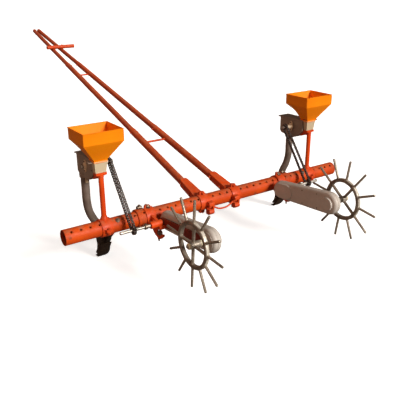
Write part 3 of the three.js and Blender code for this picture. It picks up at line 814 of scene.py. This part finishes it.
def flange(face, direction, nose):
    """Diamond bearing housing with a raised collar round the shaft."""
    reach = sorted((face, face + FLANGE_THICK * direction))
    lobes = [plate(belt(METER, 17, (METER[0], METER[1] + FLANGE_SCREW * end), 8, 14), *reach)
             for end in (1, -1)]
    collar = lathe([(0, 0), (0, 15), (9, 13.8), (nose - 2, 13.2), (nose - 0.6, 12.4), (nose, 11),
                    (nose, 0)], (face, *METER), (direction, 0, 0))
    bore = rod(SHAFT + 0.5, face - 40, face + 40, METER)
    return bevelled(cut(join(*lobes, collar), bore), 1.0)


def rotor():
    """Metering shaft with the cell drum and its ring of pockets."""
    drum, pockets, middle = 38, 10, (HOUSING_IN + HOUSING_OUT) / 2
    cells = [rod(6, middle - 17, middle + 17, polar(METER, drum, turn), 0.5, 14)
             for turn in turns(pockets)]
    return bevelled(join(cut(rod(drum, middle - 26, middle + 26, METER, 1.5, 60), *cells),
                         rod(SHAFT, CHAIN_U - 18, HOUSING_OUT + 22, METER, 1.0)), 0.6)


def shaft_end():
    """Set collar outside the flange."""
    x, (y, z) = HOUSING_OUT + 19, METER
    collar = pipe((x - 2.6, y, z), (x + 2, y, z), 12.5, SHAFT + 0.05, 0.8)
    screw = bar((x, y, z + 8), (x, y, z + 14.5), 2.2, 0.5, 12)
    return gather(collar, screw)


def seed_tube():
    route = [(TUBE_X, TUBE_Y, 239.5), (TUBE_X, TUBE_Y, 200), (TUBE_X, TUBE_Y, 160), (TUBE_X, 185, 90),
             (712, 192, 30), (690, 201, -22), (666, 192, -66), (652, 178, -96), (650, 171, -114)]
    return sweep(route, lambda s: 22.0, 40, 12)


def tube_clip():
    """Small clip that holds the tube on its spout."""
    clip = bevelled(box((TUBE_X - 8, TUBE_X + 8), (TUBE_Y - 25.5, TUBE_Y - 21), (196, 221)), 1.4, 3)
    head = lathe([(0, 0), (0, 4.2), (1.6, 3.6), (2.2, 2.2), (2.4, 0)], (TUBE_X, TUBE_Y - 25.3, 209),
                 (0, -1, 0), 20)
    return gather(clip, head)


# ---------- opener
def opener_boot():
    half, wall, back = 30, 4, HOLE_ANGLE - pi
    x0, x1 = OPENER_U - half, OPENER_U + half
    outer = rounded([(124, -100), (216, -100), (199, -143), (187, -180), (196, -212), (216, -241),
                     (196.6, -241), (174.6, -212.2), (153.6, -179.2), (147, -168), (127, -136)],
                    [3, 3, 20, 30, 30, 2, 2, 30, 30, 20, 14])
    inner = [(128, -90), (212, -90), (212, -100), (195, -143), (183, -180), (192, -213),
             (214, -246), (200, -246), (178, -210), (157, -176), (151, -166), (131, -134)]
    shell = cut(plate(outer, x0, x1), plate(inner, x0 + wall, x1 - wall))
    shank = plate(rounded([(5, -35), (138, -158), (128, -114), (33, -12)], 4), OPENER_U - 10, OPENER_U + 6)
    sector = (arc((0, 0), 47, back - 0.6, back + 0.6, 16)
              + arc((0, 0), CLAMP_INNER, back + 0.6, back - 0.6, 16))
    saddle = plate(sector, x0, OPENER_U + 26)
    return bevelled(cut(join(shell, shank, saddle), ROUND_BAR), 1.0)


def opener_share():
    """Curved blade in front of the boot, narrower at its waist."""
    profile = rounded([(127, -153), (143, -187), (163, -220), (186, -249), (206, -267), (232, -262),
                       (214, -255.5), (196, -242), (174, -213), (153, -180)],
                      [2, 40, 40, 30, 1, 0.5, 20, 30, 40, 40])
    front = symmetric([(33, -150), (28, -190), (33, -225), (32, -268)], [1, 30, 30, 20], OPENER_U)
    blade = combine(plate(profile, OPENER_U - 34, OPENER_U + 34), [prism(front, ALONG_Y, 90, 260)],
                    "INTERSECT")
    return bevelled(blade, 1.4)


def share_screws():
    """Screws of the share on the boot's sides."""
    return gather(*[cap_screw((OPENER_U + side * 30, *spot), (side, 0, 0), 5)
                    for spot in ((163, -168), (178, -196)) for side in (1, -1)])


def shank_bolt():
    """Long bolt through the toolbar that holds the opener's shank, with its washer and nuts."""
    at = Vector((SHANK_HOLE, 0, 0)) + HOLE_OUT * (BAR_RADIUS + 0.6)
    return gather(
        lathe([(-1.5, 0), (-1.5, 12.5), (1.6, 12.5), (2.2, 11.9), (2.2, 0)], at, HOLE_OUT, 32),
        hexagon(at + HOLE_OUT * 2.2, HOLE_OUT, 17, 7),
        bar(at, at + HOLE_OUT * 12.5, 5, 0.8, 20),
        bar(at - HOLE_OUT * 96, at, 5, 0.8, 20),
        hexagon(at - HOLE_OUT * 89.5, -HOLE_OUT, 17, 8),
    )


# ---------- post
def unit_post():
    """Post with its clamp half, a saddle under the metering unit and the welds at both ends."""
    saddle = plate([(-12, 283), (7, 274), (47, 250), (60, 247), (60, 255), (49.5, 261.4),
                    (19.8, 286.3), (19.8, 294.6), (-12, 294.6)], *wide(34))
    funnel = symmetric([(29, 296), (29, 286), (18, 264), (18, 240)], [0, 2, 10, 0], UNIT_U)
    saddle = combine(saddle, [prism(funnel, ALONG_Y, -30, 80)], "INTERSECT")
    post = bar((UNIT_U, 0, 40), (UNIT_U, 0, 290), 13.5, 0.5, 48)
    gusset = plate(rounded([(0, 262), (34, 256), (16, 272), (0, 284)], 1), *wide(4))
    foot = lathe([(30, 0), (30, 20), (50, 19.5), (58, 16.5), (62, 15), (62, 0)], (UNIT_U, 0, 0), Z, 48)
    body = bevelled(cut(join(saddle, post, gusset, foot), ROUND_BAR), 1.1)
    return gather(body, clamp_half(UNIT_CLAMP, 90 * DEG),
                  ring_bead((UNIT_U, 0, 62), Z, 13.5, 2.2, 40, 3),
                  ring_bead((UNIT_U, 0, 274), Z, 13.0, 2.4, 40, 4))


# ---------- chains and sprockets
def pitch_radius(teeth):
    return CHAIN_PITCH / 2 / sin(pi / teeth)


def chain_path(a, ra, b, rb):
    """Point on the loop round two sprockets, by distance along it, and the loop's length."""
    span, aim = dist(a, b), atan2(b[1] - a[1], b[0] - a[0])
    lean = acos((ra - rb) / span)
    straight = sqrt(span ** 2 - (ra - rb) ** 2)
    arc_b, arc_a = 2 * lean * rb, (2 * pi - 2 * lean) * ra
    total = 2 * straight + arc_a + arc_b

    def on(centre, radius, turn):
        return Vector(polar(centre, radius, turn))

    def at(s):
        if s < straight:
            return on(a, ra, aim - lean).lerp(on(b, rb, aim - lean), s / straight)
        s -= straight
        if s < arc_b:
            return on(b, rb, aim - lean + s / rb)
        s -= arc_b
        if s < straight:
            return on(b, rb, aim + lean).lerp(on(a, ra, aim + lean), s / straight)
        return on(a, ra, aim + lean + (s - straight) / ra)
    return at, total


def seed_chain():
    """Plates with rollers, and pins, of the open chain: every link is modelled."""
    at, total = chain_path(JACK, pitch_radius(JACK_TEETH), METER, pitch_radius(METER_TEETH))
    count = 2 * round(total / CHAIN_PITCH / 2)
    pins = [at(total * k / count) for k in range(count)]
    height, waist, middle, open_half = 5.8, 4.5, CHAIN_PITCH / 2, pi * 0.4
    outline = (arc((0, 0), height, pi - open_half, pi + open_half, 8) + [(middle, -waist)]
               + arc((CHAIN_PITCH, 0), height, -open_half, open_half, 8) + [(middle, waist)])
    plates, ends = [], []
    for k, (y0, z0) in enumerate(pins):
        link = pins[(k + 1) % count] - pins[k]
        u = Vector((0, *link.normalized()))
        v = Vector((0, -u.z, u.y))
        scaled = [(a * link.length / CHAIN_PITCH, b) for a, b in outline]
        near, far = (3.1, 4.5) if k % 2 else (4.7, 6.1)
        for side in (1, -1):
            plates.append(prism(scaled, ((CHAIN_U, y0, z0), u, v, (side, 0, 0)), near, far))
        plates.append(rod(5.2, CHAIN_U - 2.9, CHAIN_U + 2.9, (y0, z0), 0.4, 14))
        ends.append(rod(2.2, CHAIN_U - 6.8, CHAIN_U + 6.8, (y0, z0), 0.5, 12))
    return gather(*plates), gather(*ends)


def sprocket(centre, teeth, hub_radius):
    """Toothed disc in line with the open chain, with its hub and set screw."""
    radius = pitch_radius(teeth)
    flank = [(0.5, -4.1), (0.36, -3.5), (0.24, -1.3), (0.13, 1.0), (0.07, 1.7)]
    tooth = [(-share, rise) for share, rise in flank] + flank[:0:-1]
    outline = [polar(centre, radius + rise, 2 * pi * (k + share) / teeth)
               for k in range(teeth) for share, rise in tooth]
    disc = bevelled(plate(outline, CHAIN_U - 2.0, CHAIN_U + 2.0), 0.4, 1)
    hub = rod(hub_radius, CHAIN_U - 14, CHAIN_U + 12, centre, 1.0)
    top = centre[1] + hub_radius
    screw = bar((CHAIN_U + 9, centre[0], top - 3), (CHAIN_U + 9, centre[0], top + 1.6), 2.2, 0.5, 12)
    return gather(cut(join(disc, hub), rod(SHAFT + 0.25, CHAIN_U - 50, CHAIN_U + 50, centre)), screw)


def jackshaft():
    """Jackshaft with the sprocket in the case and the keyway at its outer end."""
    start, end = CASE_IN - 2, CHAIN_U + 76
    keyway = box((end - 34, end - 6), (JACK[0] - 2.4, JACK[0] + 2.4), (5.2, 12))
    shaft = join(rod(SHAFT, start, end, JACK, 1.4), rod(28, *CASE_TEETH, JACK))
    return bevelled(cut(shaft, keyway), 0.5)


def shaft_collar(x):
    collar = pipe((x, *JACK), (x + 14, *JACK), 14.5, SHAFT + 0.05, 1.2)
    return gather(collar, hexagon((x + 7, JACK[0], JACK[1] + 14), Z, 8, 4.5))


# ---------- chain case
def case_half(face, inward, bosses):
    """Pressed half with a rolled outer edge, a turned lip at the joint and a round raised boss at
    each end. bosses: (centre, radius, height, length along the case, start of the shaft's bore)."""
    wall, roll = 3.0, 18.0
    rim = CASE_JOINT - inward * CASE_GAP

    def section(x, inset):
        return [(x, y, z) for y, z in belt(JACK, CASE_FRONT - inset, AXLE, CASE_REAR - inset, 34)]

    rows = [section(face, roll + 12), section(face, roll + 2)]
    for turn in (k * pi / 16 for k in range(9)):
        rows.append(section(face + inward * roll * (1 - cos(turn)), roll * (1 - sin(turn))))
    rows += [section(rim - inward * back, inset)
             for back, inset in ((4.2, 0), (3.4, -0.9), (0.5, -1.0), (0, -0.6), (0, wall))]
    rows += [section(face + inward * depth, inset)
             for depth, inset in ((roll, wall), (wall, roll), (wall, roll + 14))]
    shapes, bores = [], []
    for centre, radius, height, length, start in bosses:
        end = Vector(centre) + (Vector(AXLE) - Vector(JACK)).normalized() * length
        steps = [(-7, -1.5), (0.3, -1.2), (1.6, 0), (height - 3, 0.6), (height - 1, 1.6), (height, 4),
                 (height, 12)]
        shapes.append(loft([[(face - inward * out, y, z)
                             for y, z in belt(centre, radius - inset, end, radius - inset, 34)]
                            for out, inset in steps]))
        bores.append(rod(SHAFT + 0.6, *sorted((start, rim + 20 * inward)), centre))
    return cut(join(loft(rows), *shapes), *bores)


def case_screws(face, direction, spots):
    """Screws in twos. spots: (share of the way to the axle, distance from the middle line)."""
    u = Vector((0, AXLE[0] - JACK[0], AXLE[1] - JACK[1])).normalized()
    v = Vector((0, -u.z, u.y))
    return gather(*[cap_screw(Vector((face, *JACK)) + u * (share * CASE_SPAN) + v * (side * lift),
                              (direction, 0, 0), 4)
                    for share, lift in spots for side in (1, -1)])


# ---------- wheel arm, its clamp, wheel
def wheel_arm():
    flat = plate(belt(JACK, 24, AXLE, 22), ARM_IN, ARM_OUT)
    eyes = [rod(20, ARM_IN - 1.5, ARM_OUT + 5.5, JACK, 1.2),
            rod(17, ARM_IN - 1.5, ARM_OUT + 14.5, AXLE, 1.2)]
    bores = [rod(SHAFT + 0.6, ARM_IN - 20, ARM_OUT + 20, centre) for centre in (JACK, AXLE)]
    return gather(bevelled(cut(join(flat, *eyes), *bores), 1.0),
                  ring_bead((ARM_OUT + 0.3, *JACK), X, 20, 1.9, 40, 5),
                  ring_bead((ARM_OUT + 0.3, *AXLE), X, 17, 1.9, 40, 6))


def arm_clamp():
    """Clamp half with the jackshaft's barrel, the web to it, and the crescent that sets the depth."""
    barrel = rod(19, CLAMP_U - 17, CLAMP_U + 49, JACK, 1.5, 48)
    web = plate([(-104, -14), (-104, 14), (-42, 24), (-42, -24)], CLAMP_U - 8, CLAMP_U + 8)
    stub = rod(11, CLAMP_U - 27, CLAMP_U + 7, (-134, -20), 1.5, 36)
    cheek = plate(rounded([(-112, 12), (-140, -10), (-146, -24), (-134, -32), (-110, -20)], 5),
                  CLAMP_U - 13, CLAMP_U - 3)
    crescent = plate(rounded([(-34, -32), (-40, -60), (-62, -82), (-98, -95), (-124, -90), (-154, -64),
                              (-149, -54), (-134, -61), (-116, -74), (-98, -74), (-85, -66), (-87, -54),
                              (-104, -38), (-122, -14), (-60, -6)],
                             [3, 16, 20, 24, 16, 4, 4, 12, 12, 10, 8, 8, 10, 4, 4]),
                     CLAMP_U - 15, CLAMP_U - 5)
    bore = rod(SHAFT + 0.6, CLAMP_U - 60, CLAMP_U + 60, JACK)
    nipple = [bar((CLAMP_U + 29, JACK[0], z0), (CLAMP_U + 29, JACK[0], z1), radius, edge, 12)
              for z0, z1, radius, edge in ((17.5, 24, 3.4, 0.5), (23, 29, 2.2, 0.8))]
    return gather(bevelled(cut(join(barrel, web, stub, cheek, crescent), ROUND_BAR, bore), 1.2),
                  clamp_half(ARM_CLAMP, pi, CLAMP_OUTER + 5), *nipple,
                  ring_bead((CLAMP_U - 4, -86, 0), Y, 14, 1.6, 30, 8))


def bar_sleeve():
    """Stop sleeve on the toolbar against the arm clamp, with a hole over one of the bar's holes."""
    outer, start = CLAMP_OUTER + 4, CLAMP_U + 29
    ring = [(start, CLAMP_INNER), (start, outer - 3), (start + 3, outer), (start + 38, outer),
            (start + 44, outer - 3), (start + 46, CLAMP_INNER)]
    hole = bar((SLEEVE_HOLE, 0, 0), Vector((SLEEVE_HOLE, 0, 0)) + HOLE_OUT * 60, HOLE_RADIUS, 0, 24)
    return cut(lathe(ring, (0, 0, 0), X, 96, closed=True), hole)


def sleeve_lug():
    """Set-screw lug on top of the sleeve, and the screw."""
    x0, x1 = CLAMP_U + 31, CLAMP_U + 57
    lug = plate(rounded([(-3, 47), (19, 44), (19, 62), (12, 66), (0, 67), (-5, 60)], [0, 0, 4, 4, 5, 4]),
                x0, x1)
    return gather(bevelled(lug, 1.6, 3), hexagon(((x0 + x1) / 2, 8, 66), Z, 13, 6))


def sector_bolts():
    """Bolt and washer in the crescent's hollow, and the stop bolt under it."""
    middle = Vector((CLAMP_U - 4.8, -116, -57))
    x, y = CLAMP_U - 10, -99
    return gather(
        lathe([(-10, 0), (-10, 15), (2, 15), (2.6, 14), (2.6, 0)], middle, X, 36),
        hexagon(middle + Vector((2.6, 0, 0)), X, 17, 7),
        bar(middle, middle + Vector((13, 0, 0)), 4.8, 0.8, 20),
        bar((x, y, -88), (x, y, -111), 4.4, 1.0, 18),
        hexagon((x, y, -95), (0, 0, -1), 13, 5),
    )


def ground_wheel(side):
    """Ring, two crossed spoke bars, hub and spikes, with a weld bead at each joint."""
    centre = Vector((WHEEL_U, *AXLE))
    inner = RING - RING_DEPTH
    section = rounded([(-11, inner), (11, inner), (11, RING), (-11, RING)], 6, 4)
    hub = lathe([(-38, 0), (-38, 15.5), (-36.5, 17), (20.5, 17), (22, 15.5), (22, 0)], centre, X, 48)

    def outward(share):
        turn = WHEEL_PHASE[side] + 2 * pi * share
        return Vector((0, sin(turn), cos(turn)))

    spokes = [bar(centre - outward(share) * (inner + 10), centre + outward(share) * (inner + 10),
                  SPOKE, 0.5, 24) for share in (0, 0.25)]
    parts = [lathe(section, centre, X, 96, closed=True),
             cut(join(hub, *spokes), rod(SHAFT + 0.2, WHEEL_U - 100, WHEEL_U + 100, AXLE))]
    spike = [(RING - 5, 0), (RING - 5, SPIKE), (SPIKE_REACH - 3, SPIKE - 0.7),
             (SPIKE_REACH - 0.9, SPIKE - 1.6), (SPIKE_REACH, 3.4), (SPIKE_REACH, 0)]
    for k in range(SPIKE_COUNT):
        out = outward(k / SPIKE_COUNT)
        parts += [lathe(spike, centre, out, 18),
                  ring_bead(centre + out * (RING + 0.6), out, SPIKE, 1.7, 22, 30 + k)]
    for k in range(4):
        out = outward(k / 4)
        parts += [ring_bead(centre + out * (inner - 0.4), out, SPOKE, 1.7, 24, 10 + k),
                  ring_bead(centre + out * 17.6, out, SPOKE, 1.6, 24, 50 + k)]
    return gather(*parts)


def tread_hoop():
    """Outer skin of the ring, painted light cream as a highlight, thin and proud of the ring by less than
    1 mm.
    """
    section = rounded([(-7.6, RING - 3), (7.6, RING - 3), (7.6, RING + 0.7), (-7.6, RING + 0.7)], 0.5, 2)
    return lathe(section, (WHEEL_U, *AXLE), X, 96, closed=True)


def wheel_axle():
    return bevelled(join(rod(SHAFT, CASE_IN - 8, WHEEL_U + 32, AXLE, 1.2),
                         rod(35, *CASE_TEETH, AXLE, 0.8)), 0.5)


def hub_cap():
    """Cream dust cap on the outboard end of the hub, and the seal on the inboard end."""
    outboard = lathe([(0, 9), (0, 15.6), (5.5, 15.2), (8.6, 12.8), (9.2, 9)],
                     (WHEEL_U + 22.2, *AXLE), X, 40, closed=True)
    seal = pipe((WHEEL_U - 44.5, *AXLE), (WHEEL_U - 38.5, *AXLE), 14.5, SHAFT + 0.1, 1.0)
    return gather(outboard, seal)


def axle_nut():
    face = WHEEL_U + 28
    return gather(hexagon((face, *AXLE), X, 15, 7), rod(4.6, face, face + 10.5, AXLE, 0.8, 20))


# ---------- poles
TOE = asin((POLE_U - POLE_TIP_U) / POLE_LENGTH)
POLE_FRAME = (Matrix.Translation((POLE_U, 0, POLE_Z)) @ Matrix.Rotation(TOE, 4, "Z")
              @ Matrix.Rotation(POLE_RISE, 4, "X"))
POLE_ALONG = Vector((0, cos(POLE_RISE), sin(POLE_RISE)))
POLE_UP = Vector((0, -sin(POLE_RISE), cos(POLE_RISE)))


def on_pole(mesh):
    """Shape whose Y runs along the pole from the toolbar, put in its place."""
    return moved(mesh, POLE_FRAME)


def pole_pipe(t0, t1, outer, inner, next_outer=None):
    """One pipe of a pole; its far end is drawn down to the next pipe, where there is one."""
    edge = 0.8
    profile = [(t0, inner + edge), (t0, outer - edge), (t0 + edge, outer)]
    if next_outer:
        profile += [(t1 - 46, outer), (t1 - 38, outer - 0.3), (t1 - 14, next_outer + 1.0),
                    (t1 - 6, next_outer + 0.6), (t1, next_outer + 0.3), (t1, inner)]
    else:
        profile += [(t1 - edge, outer), (t1, outer - edge), (t1, inner + edge), (t1 - edge, inner)]
    profile.append((t0 + edge, inner))
    return on_pole(lathe(profile, (0, 0, 0), Y, 48, closed=True))


def pole_bolts():
    """A bolt through each telescoped joint."""
    return gather(*[on_pole(bolt((r + 0.4, step - 55, 0), (-1, 0, 0), 6, 2 * r + 0.8))
                    for step, r in zip(POLE_STEPS, POLE_R)])


def pole_bracket():
    """Clamp half with a channel round the pole's foot, flared towards the toolbar."""
    half, room = POLE_R[0] + 3.2, POLE_R[0] + 0.4
    side = [(half + 14, 8), (half + 9.5, 34), (half + 5.5, 66), (half + 3.4, 104), (half + 1.4, 150),
            (half - 1.2, 196), (half - 6, 214)]
    outline = symmetric(side, [0, 30, 30, 30, 30, 20, 6])
    channel = cut(prism(outline, ALONG_Z, -15, half), box((-room, room), (0, 230), (-40, room)))
    split = box((0, 230), (-90, 0.3), (-90, 90))
    return gather(cut(bevelled(on_pole(channel), 3.0, 3), ROUND_BAR, split), clamp_half(POLE_CLAMP, 0.0))


def bracket_bolts():
    channel = [on_pole(bolt((r, t, z), (-1, 0, 0), 9, 2 * r))
               for t, z, r in ((84, 2, 29.6), (190, 8, 25.4))]
    return gather(*clamp_bolts(POLE_U, 0.0), *channel)


def bracket_cap(side):
    """Clamp half with a forked lug; the fork opens to the same hand on both sides."""
    x0, x1 = POLE_U - 38, POLE_U - 4
    lug = plate(rounded([(-76, 14), (-77, -6), (-74, -32), (-79, -46), (-66, -60), (-38, -60), (-38, 14)],
                        [7, 3, 6, 6, 6, 4, 0]), x0, x1)
    open_from = (x0 + 10, x1 + 1) if side == "left" else (x0 - 1, x1 - 10)
    body = bevelled(cut(lug, ROUND_BAR, box(open_from, (-90, -49), (-28, -7))), 1.6)
    return gather(clamp_half(POLE_CLAMP, pi), body)


def tie_rod():
    end = POLE_U - 9
    half = [(end, -16), (end - 15, -16.2), (end - 30, -17), (35, -37)]
    route = [(-x, z) for x, z in half] + [(0, -42)] + half[::-1]
    return sweep([(x, TIE_Y, z) for x, z in route], lambda s: 5.0, 20, 8)


def tie_nuts():
    return gather(*[hexagon((side * (POLE_U - 38.4), TIE_Y, -16.3), (-side, 0, 0), 14, 5)
                    for side in (1, -1)])


def pole_point(side, t, lift=0.0):
    """Point above a pole's middle, at a distance along the poles. side 0 is midway between them."""
    u = POLE_U + (POLE_TIP_U - POLE_U) * t / POLE_LENGTH
    return Vector((side * u, 0, POLE_Z)) + POLE_ALONG * t + POLE_UP * lift


def brace(t, radius, pole_radius, seed):
    ends = [pole_point(side, t) + Vector((side * (1.5 - pole_radius), 0, 0)) for side in (-1, 1)]
    beads = [ring_bead(pole_point(side, t) + Vector((side * (0.3 - pole_radius), 0, 0)), X, radius, 1.5,
                       24, seed) for side in (1, -1)]
    return gather(bar(*ends, radius, 0.3, 24), *beads)


def handle_bar():
    centre = pole_point(0, HANDLE_AT, POLE_R[2] + 15.3).yz
    return pipe((-98, *centre), (142, *centre), 15, 12.4, 1.0, 48)


def handle_bolts():
    """Bolts down through the handle bar into the poles."""
    return gather(*[cap_screw(pole_point(side, HANDLE_AT, POLE_R[2] + 29.9), POLE_UP, 6)
                    for side in (1, -1)])


def handle_welds():
    beads = []
    for side in (1, -1):
        for end in (1, -1):
            middle = pole_point(side, HANDLE_AT, POLE_R[2]) + POLE_ALONG * (6.5 * end)
            beads.append(sweep([middle + Vector((dx, 0, 0)) for dx in (-8, -3, 3, 8)],
                               lambda s: 2.3 + 0.5 * sin(40 * s), 10, 6))
    return gather(*beads)


# ---------- build the units
piece("toolbar_tube", toolbar(), "main_frame", "frame_paint", BAR, ["toolbar"], crease=40)

pair("hopper_sheet", gather(hopper(), hopper_seams()), HOPPER, "hopper", crease=25)
pair("metering_casting", meter_front(), CASTING, "metering_front")
pair("metering_collar", meter_collar(), PEACH)
pair("slide_gate", slide_gate(), HOUSING)
pair("housing_shell", meter_housing(), HOUSING, "metering_housing")
pair("housing_covers", housing_trim(), HOUSING)
# Both flanges use the lightened cream: partly painted light
pair("outboard_flange", flange(FLANGE_OUT, 1, 15), BEARING, "bearing_flange")
pair("inboard_flange", flange(FLANGE_IN, -1, 38), BEARING)
pair("metering_screws", metering_screws(), BOLT)
pair("cell_drum", rotor(), ZINC, "metering_rotor", "meter")
pair("shaft_stop", shaft_end(), BOLT, body="meter")
pair("seed_hose", seed_tube(), TUBE, "seed_tube", crease=60)
pair("hose_clip", tube_clip(), CAP, slot="bright_steel")
pair("boot_shell", opener_boot(), BLACK, "opener_boot")
pair("share_blade", opener_share(), BLACK, "opener_share")
pair("share_screws", share_screws(), BOLT)
pair("shank_bolt", shank_bolt(), BOLT)
pair("post_weldment", unit_post(), PAINT, "unit_post")
pair("post_clamp_half", clamp_half(UNIT_CLAMP, -90 * DEG), PAINT, "post_clamp_cap")
pair("post_clamp_bolts", gather(*clamp_bolts(UNIT_U, 90 * DEG)), PAINT)

chain_plates, chain_pins = seed_chain()
pair("seed_chain_plates", chain_plates, CHAIN_DARK, "seed_chain")
pair("seed_chain_pins", chain_pins, CHAIN_BRIGHT)
pair("meter_sprocket", sprocket(METER, METER_TEETH, 10.8), CHAIN_DARK, "upper_sprocket", "meter")
pair("jack_sprocket", sprocket(JACK, JACK_TEETH, 13.5), CHAIN_DARK, "lower_sprocket", "drive")
pair("jack_bar", jackshaft(), ZINC, "jackshaft", "drive")
pair("jack_collar", shaft_collar(CLAMP_U + 70), BOLT, body="drive", slot="chain_steel")

pair("arm_clamp_body", arm_clamp(), PAINT, "arm_clamp")
# Dark end plugs: painted shade inside the open tube ends
pair("painted_shade_plug", painted_shade_plug(), SHADED)
pair("bar_sleeve", bar_sleeve(), BAR)
pair("sleeve_lug", sleeve_lug(), BOLT)
pair("arm_clamp_half", clamp_half(ARM_CLAMP, 0.0), PAINT, "arm_clamp_cap")
pair("arm_clamp_bolts", gather(*clamp_bolts(CLAMP_U, 0.0, 11), sector_bolts()), BOLT)
# The arm plate takes the darkened enamel: painted shade
pair("arm_bar", wheel_arm(), SHADED, "wheel_arm", "arm")
inner_bosses = (JACK, 45, 6, 60, CASE_IN - 4.5), (AXLE, 38, 12, 2, CASE_IN - 10)
outer_bosses = (JACK, 40, 2.9, 2, CASE_OUT + 14), (AXLE, 46, 2.9, 2, CASE_OUT + 14)
pair("case_cover_inner", case_half(CASE_IN, 1, inner_bosses), CASE, "case_inner", "arm", 40)
pair("case_cover_outer", case_half(CASE_OUT, -1, outer_bosses), CASE, "case_outer", "arm", 40)
pair("case_screws", case_screws(CASE_IN + 1.2, -1, ((0.5, 38), (0.8, 41))), BOLT, body="arm")
pair("axle_bar", wheel_axle(), ZINC, "wheel_axle", "wheel")
pair("spiked_wheel", ground_wheel, WORN, "ground_wheel", "wheel")
# Light outer skin of the ring: painted highlight
pair("tread_hoop", tread_hoop(), TREAD, body="wheel")
pair("hub_caps", hub_cap(), CAP, body="wheel")
pair("axle_nut", axle_nut(), BOLT, body="wheel")

pair("bracket_channel", pole_bracket(), PAINT, "pole_bracket", "push_handle")
pair("bracket_lug", bracket_cap, PAINT, "bracket_cap", "push_handle")
pair("bracket_bolts", bracket_bolts(), PAINT, body="push_handle")
starts, stops = (62, POLE_STEPS[0] - 70, POLE_STEPS[1] - 70), (*POLE_STEPS, POLE_LENGTH)
for part, *sizes in zip(("lower", "middle", "upper"), starts, stops, POLE_R, POLE_BORE,
                        (*POLE_R[1:], None)):
    pair(f"pole_{part}_pipe", pole_pipe(*sizes), POLE, f"{part}_pole", "push_handle")
pair("pole_bolts", pole_bolts(), PAINT, body="push_handle")
for name, mesh, replaced in (
        ("brace_lower", brace(BRACE_AT[0], 7, POLE_R[0], 21), ["lower_brace"]),
        ("brace_upper", brace(BRACE_AT[1], 6, POLE_R[1], 22), ["upper_brace"]),
        ("cross_handle", handle_bar(), ["handle_bar"]),
        ("handle_bolts", handle_bolts(), []), ("handle_welds", handle_welds(), []),
        ("tie_bar", tie_rod(), ["tie_rod"]), ("tie_nuts", tie_nuts(), [])):
    piece(name, mesh, "push_handle", "frame_paint", PAINT, replaced)

for side in SIDES:
    ob = frame["nodes"][f"{side}_case_chain"]
    ob.data.materials.clear()
    ob.data.materials.append(CHAIN_DARK)


# ---------- floor, light and camera
def floor():
    """Pale disc whose edge curves up into a wall far behind the machine. Sizes are in metres."""
    g = Graph("pale_floor")
    colour = g.mix(g.span(g.noise(1.3, 3.0), 0.3, 0.7), (0.93, 0.93, 0.93), (0.9, 0.9, 0.9))
    g.finish(Base_Color=colour, Roughness=0.85, Specular_IOR_Level=0.1, Emission_Color=colour,
             Emission_Strength=0.75)
    radius, curve, top, sides = 60.0, 25.0, 90.0, 96
    bend = [polar((radius - curve, curve), curve, (k / 10 - 1) * pi / 2) for k in range(11)]
    rings = bend + [(radius, top)]
    verts = [(0, 0, 0)] + [(*polar((0, 0), r, turn), z) for r, z in rings for turn in turns(sides)]
    faces = [(0, 1 + k, 1 + (k + 1) % sides) for k in range(sides)]
    for a in range(1, 1 + (len(rings) - 1) * sides, sides):
        for k in range(sides):
            n = (k + 1) % sides
            faces.append((a + k, a + sides + k, a + sides + n, a + n))
    mesh = bpy.data.meshes.new("floor")
    mesh.from_pydata(verts, [], faces)
    mesh.materials.append(g.material)
    ob = bpy.data.objects.new("floor", mesh)
    ob.location.z = -0.0005
    ob.visible_diffuse = False
    ob.visible_glossy = False
    ob.visible_shadow = False
    scene.collection.objects.link(ob)


def sun(name, azimuth, elevation, power, colour, angle):
    """Sun from an azimuth measured from -Y towards +X."""
    data = bpy.data.lights.new(name, "SUN")
    data.energy, data.color, data.angle = power, colour, angle * DEG
    ob = bpy.data.objects.new(name, data)
    a, e = azimuth * DEG, elevation * DEG
    to_light = Vector((sin(a) * cos(e), -cos(a) * cos(e), sin(e)))
    ob.rotation_mode = "QUATERNION"
    ob.rotation_quaternion = to_light.to_track_quat("Z", "Y")
    scene.collection.objects.link(ob)


def world():
    made = bpy.data.worlds.new("studio")
    made.use_nodes = True
    background = made.node_tree.nodes["Background"]
    background.inputs["Color"].default_value = (1.0, 0.82, 0.68, 1)
    background.inputs["Strength"].default_value = 0.12
    scene.world = made


def camera():
    """Camera at a place in metres, turned by an azimuth, a downward pitch and a roll in radians."""
    data = bpy.data.cameras.new("camera")
    data.sensor_width, data.lens = 36.0, 50.1
    data.clip_start, data.clip_end = 0.05, 500.0
    ob = bpy.data.objects.new("camera", data)
    place, azimuth, pitch, roll = (-1.7817, -3.45465, 1.43535), 0.602, 0.375, -0.007
    forward = Vector((sin(azimuth) * cos(pitch), cos(azimuth) * cos(pitch),
                      -sin(pitch)))
    level_right = Vector((cos(azimuth), -sin(azimuth), 0))
    level_up = level_right.cross(forward)
    right = level_right * cos(roll) + level_up * sin(roll)
    up = level_up * cos(roll) - level_right * sin(roll)
    turn = Matrix((right, up, -forward)).transposed()
    ob.matrix_world = Matrix.Translation(place) @ turn.to_4x4()
    scene.collection.objects.link(ob)
    scene.camera = ob


floor()
world()
sun("key", 16, 27, 4.0, (1.0, 0.96, 0.9), 16)
sun("fill", -82, 18, 0.6, (1.0, 0.56, 0.38), 70)
camera()
scene.view_settings.view_transform = "Standard"
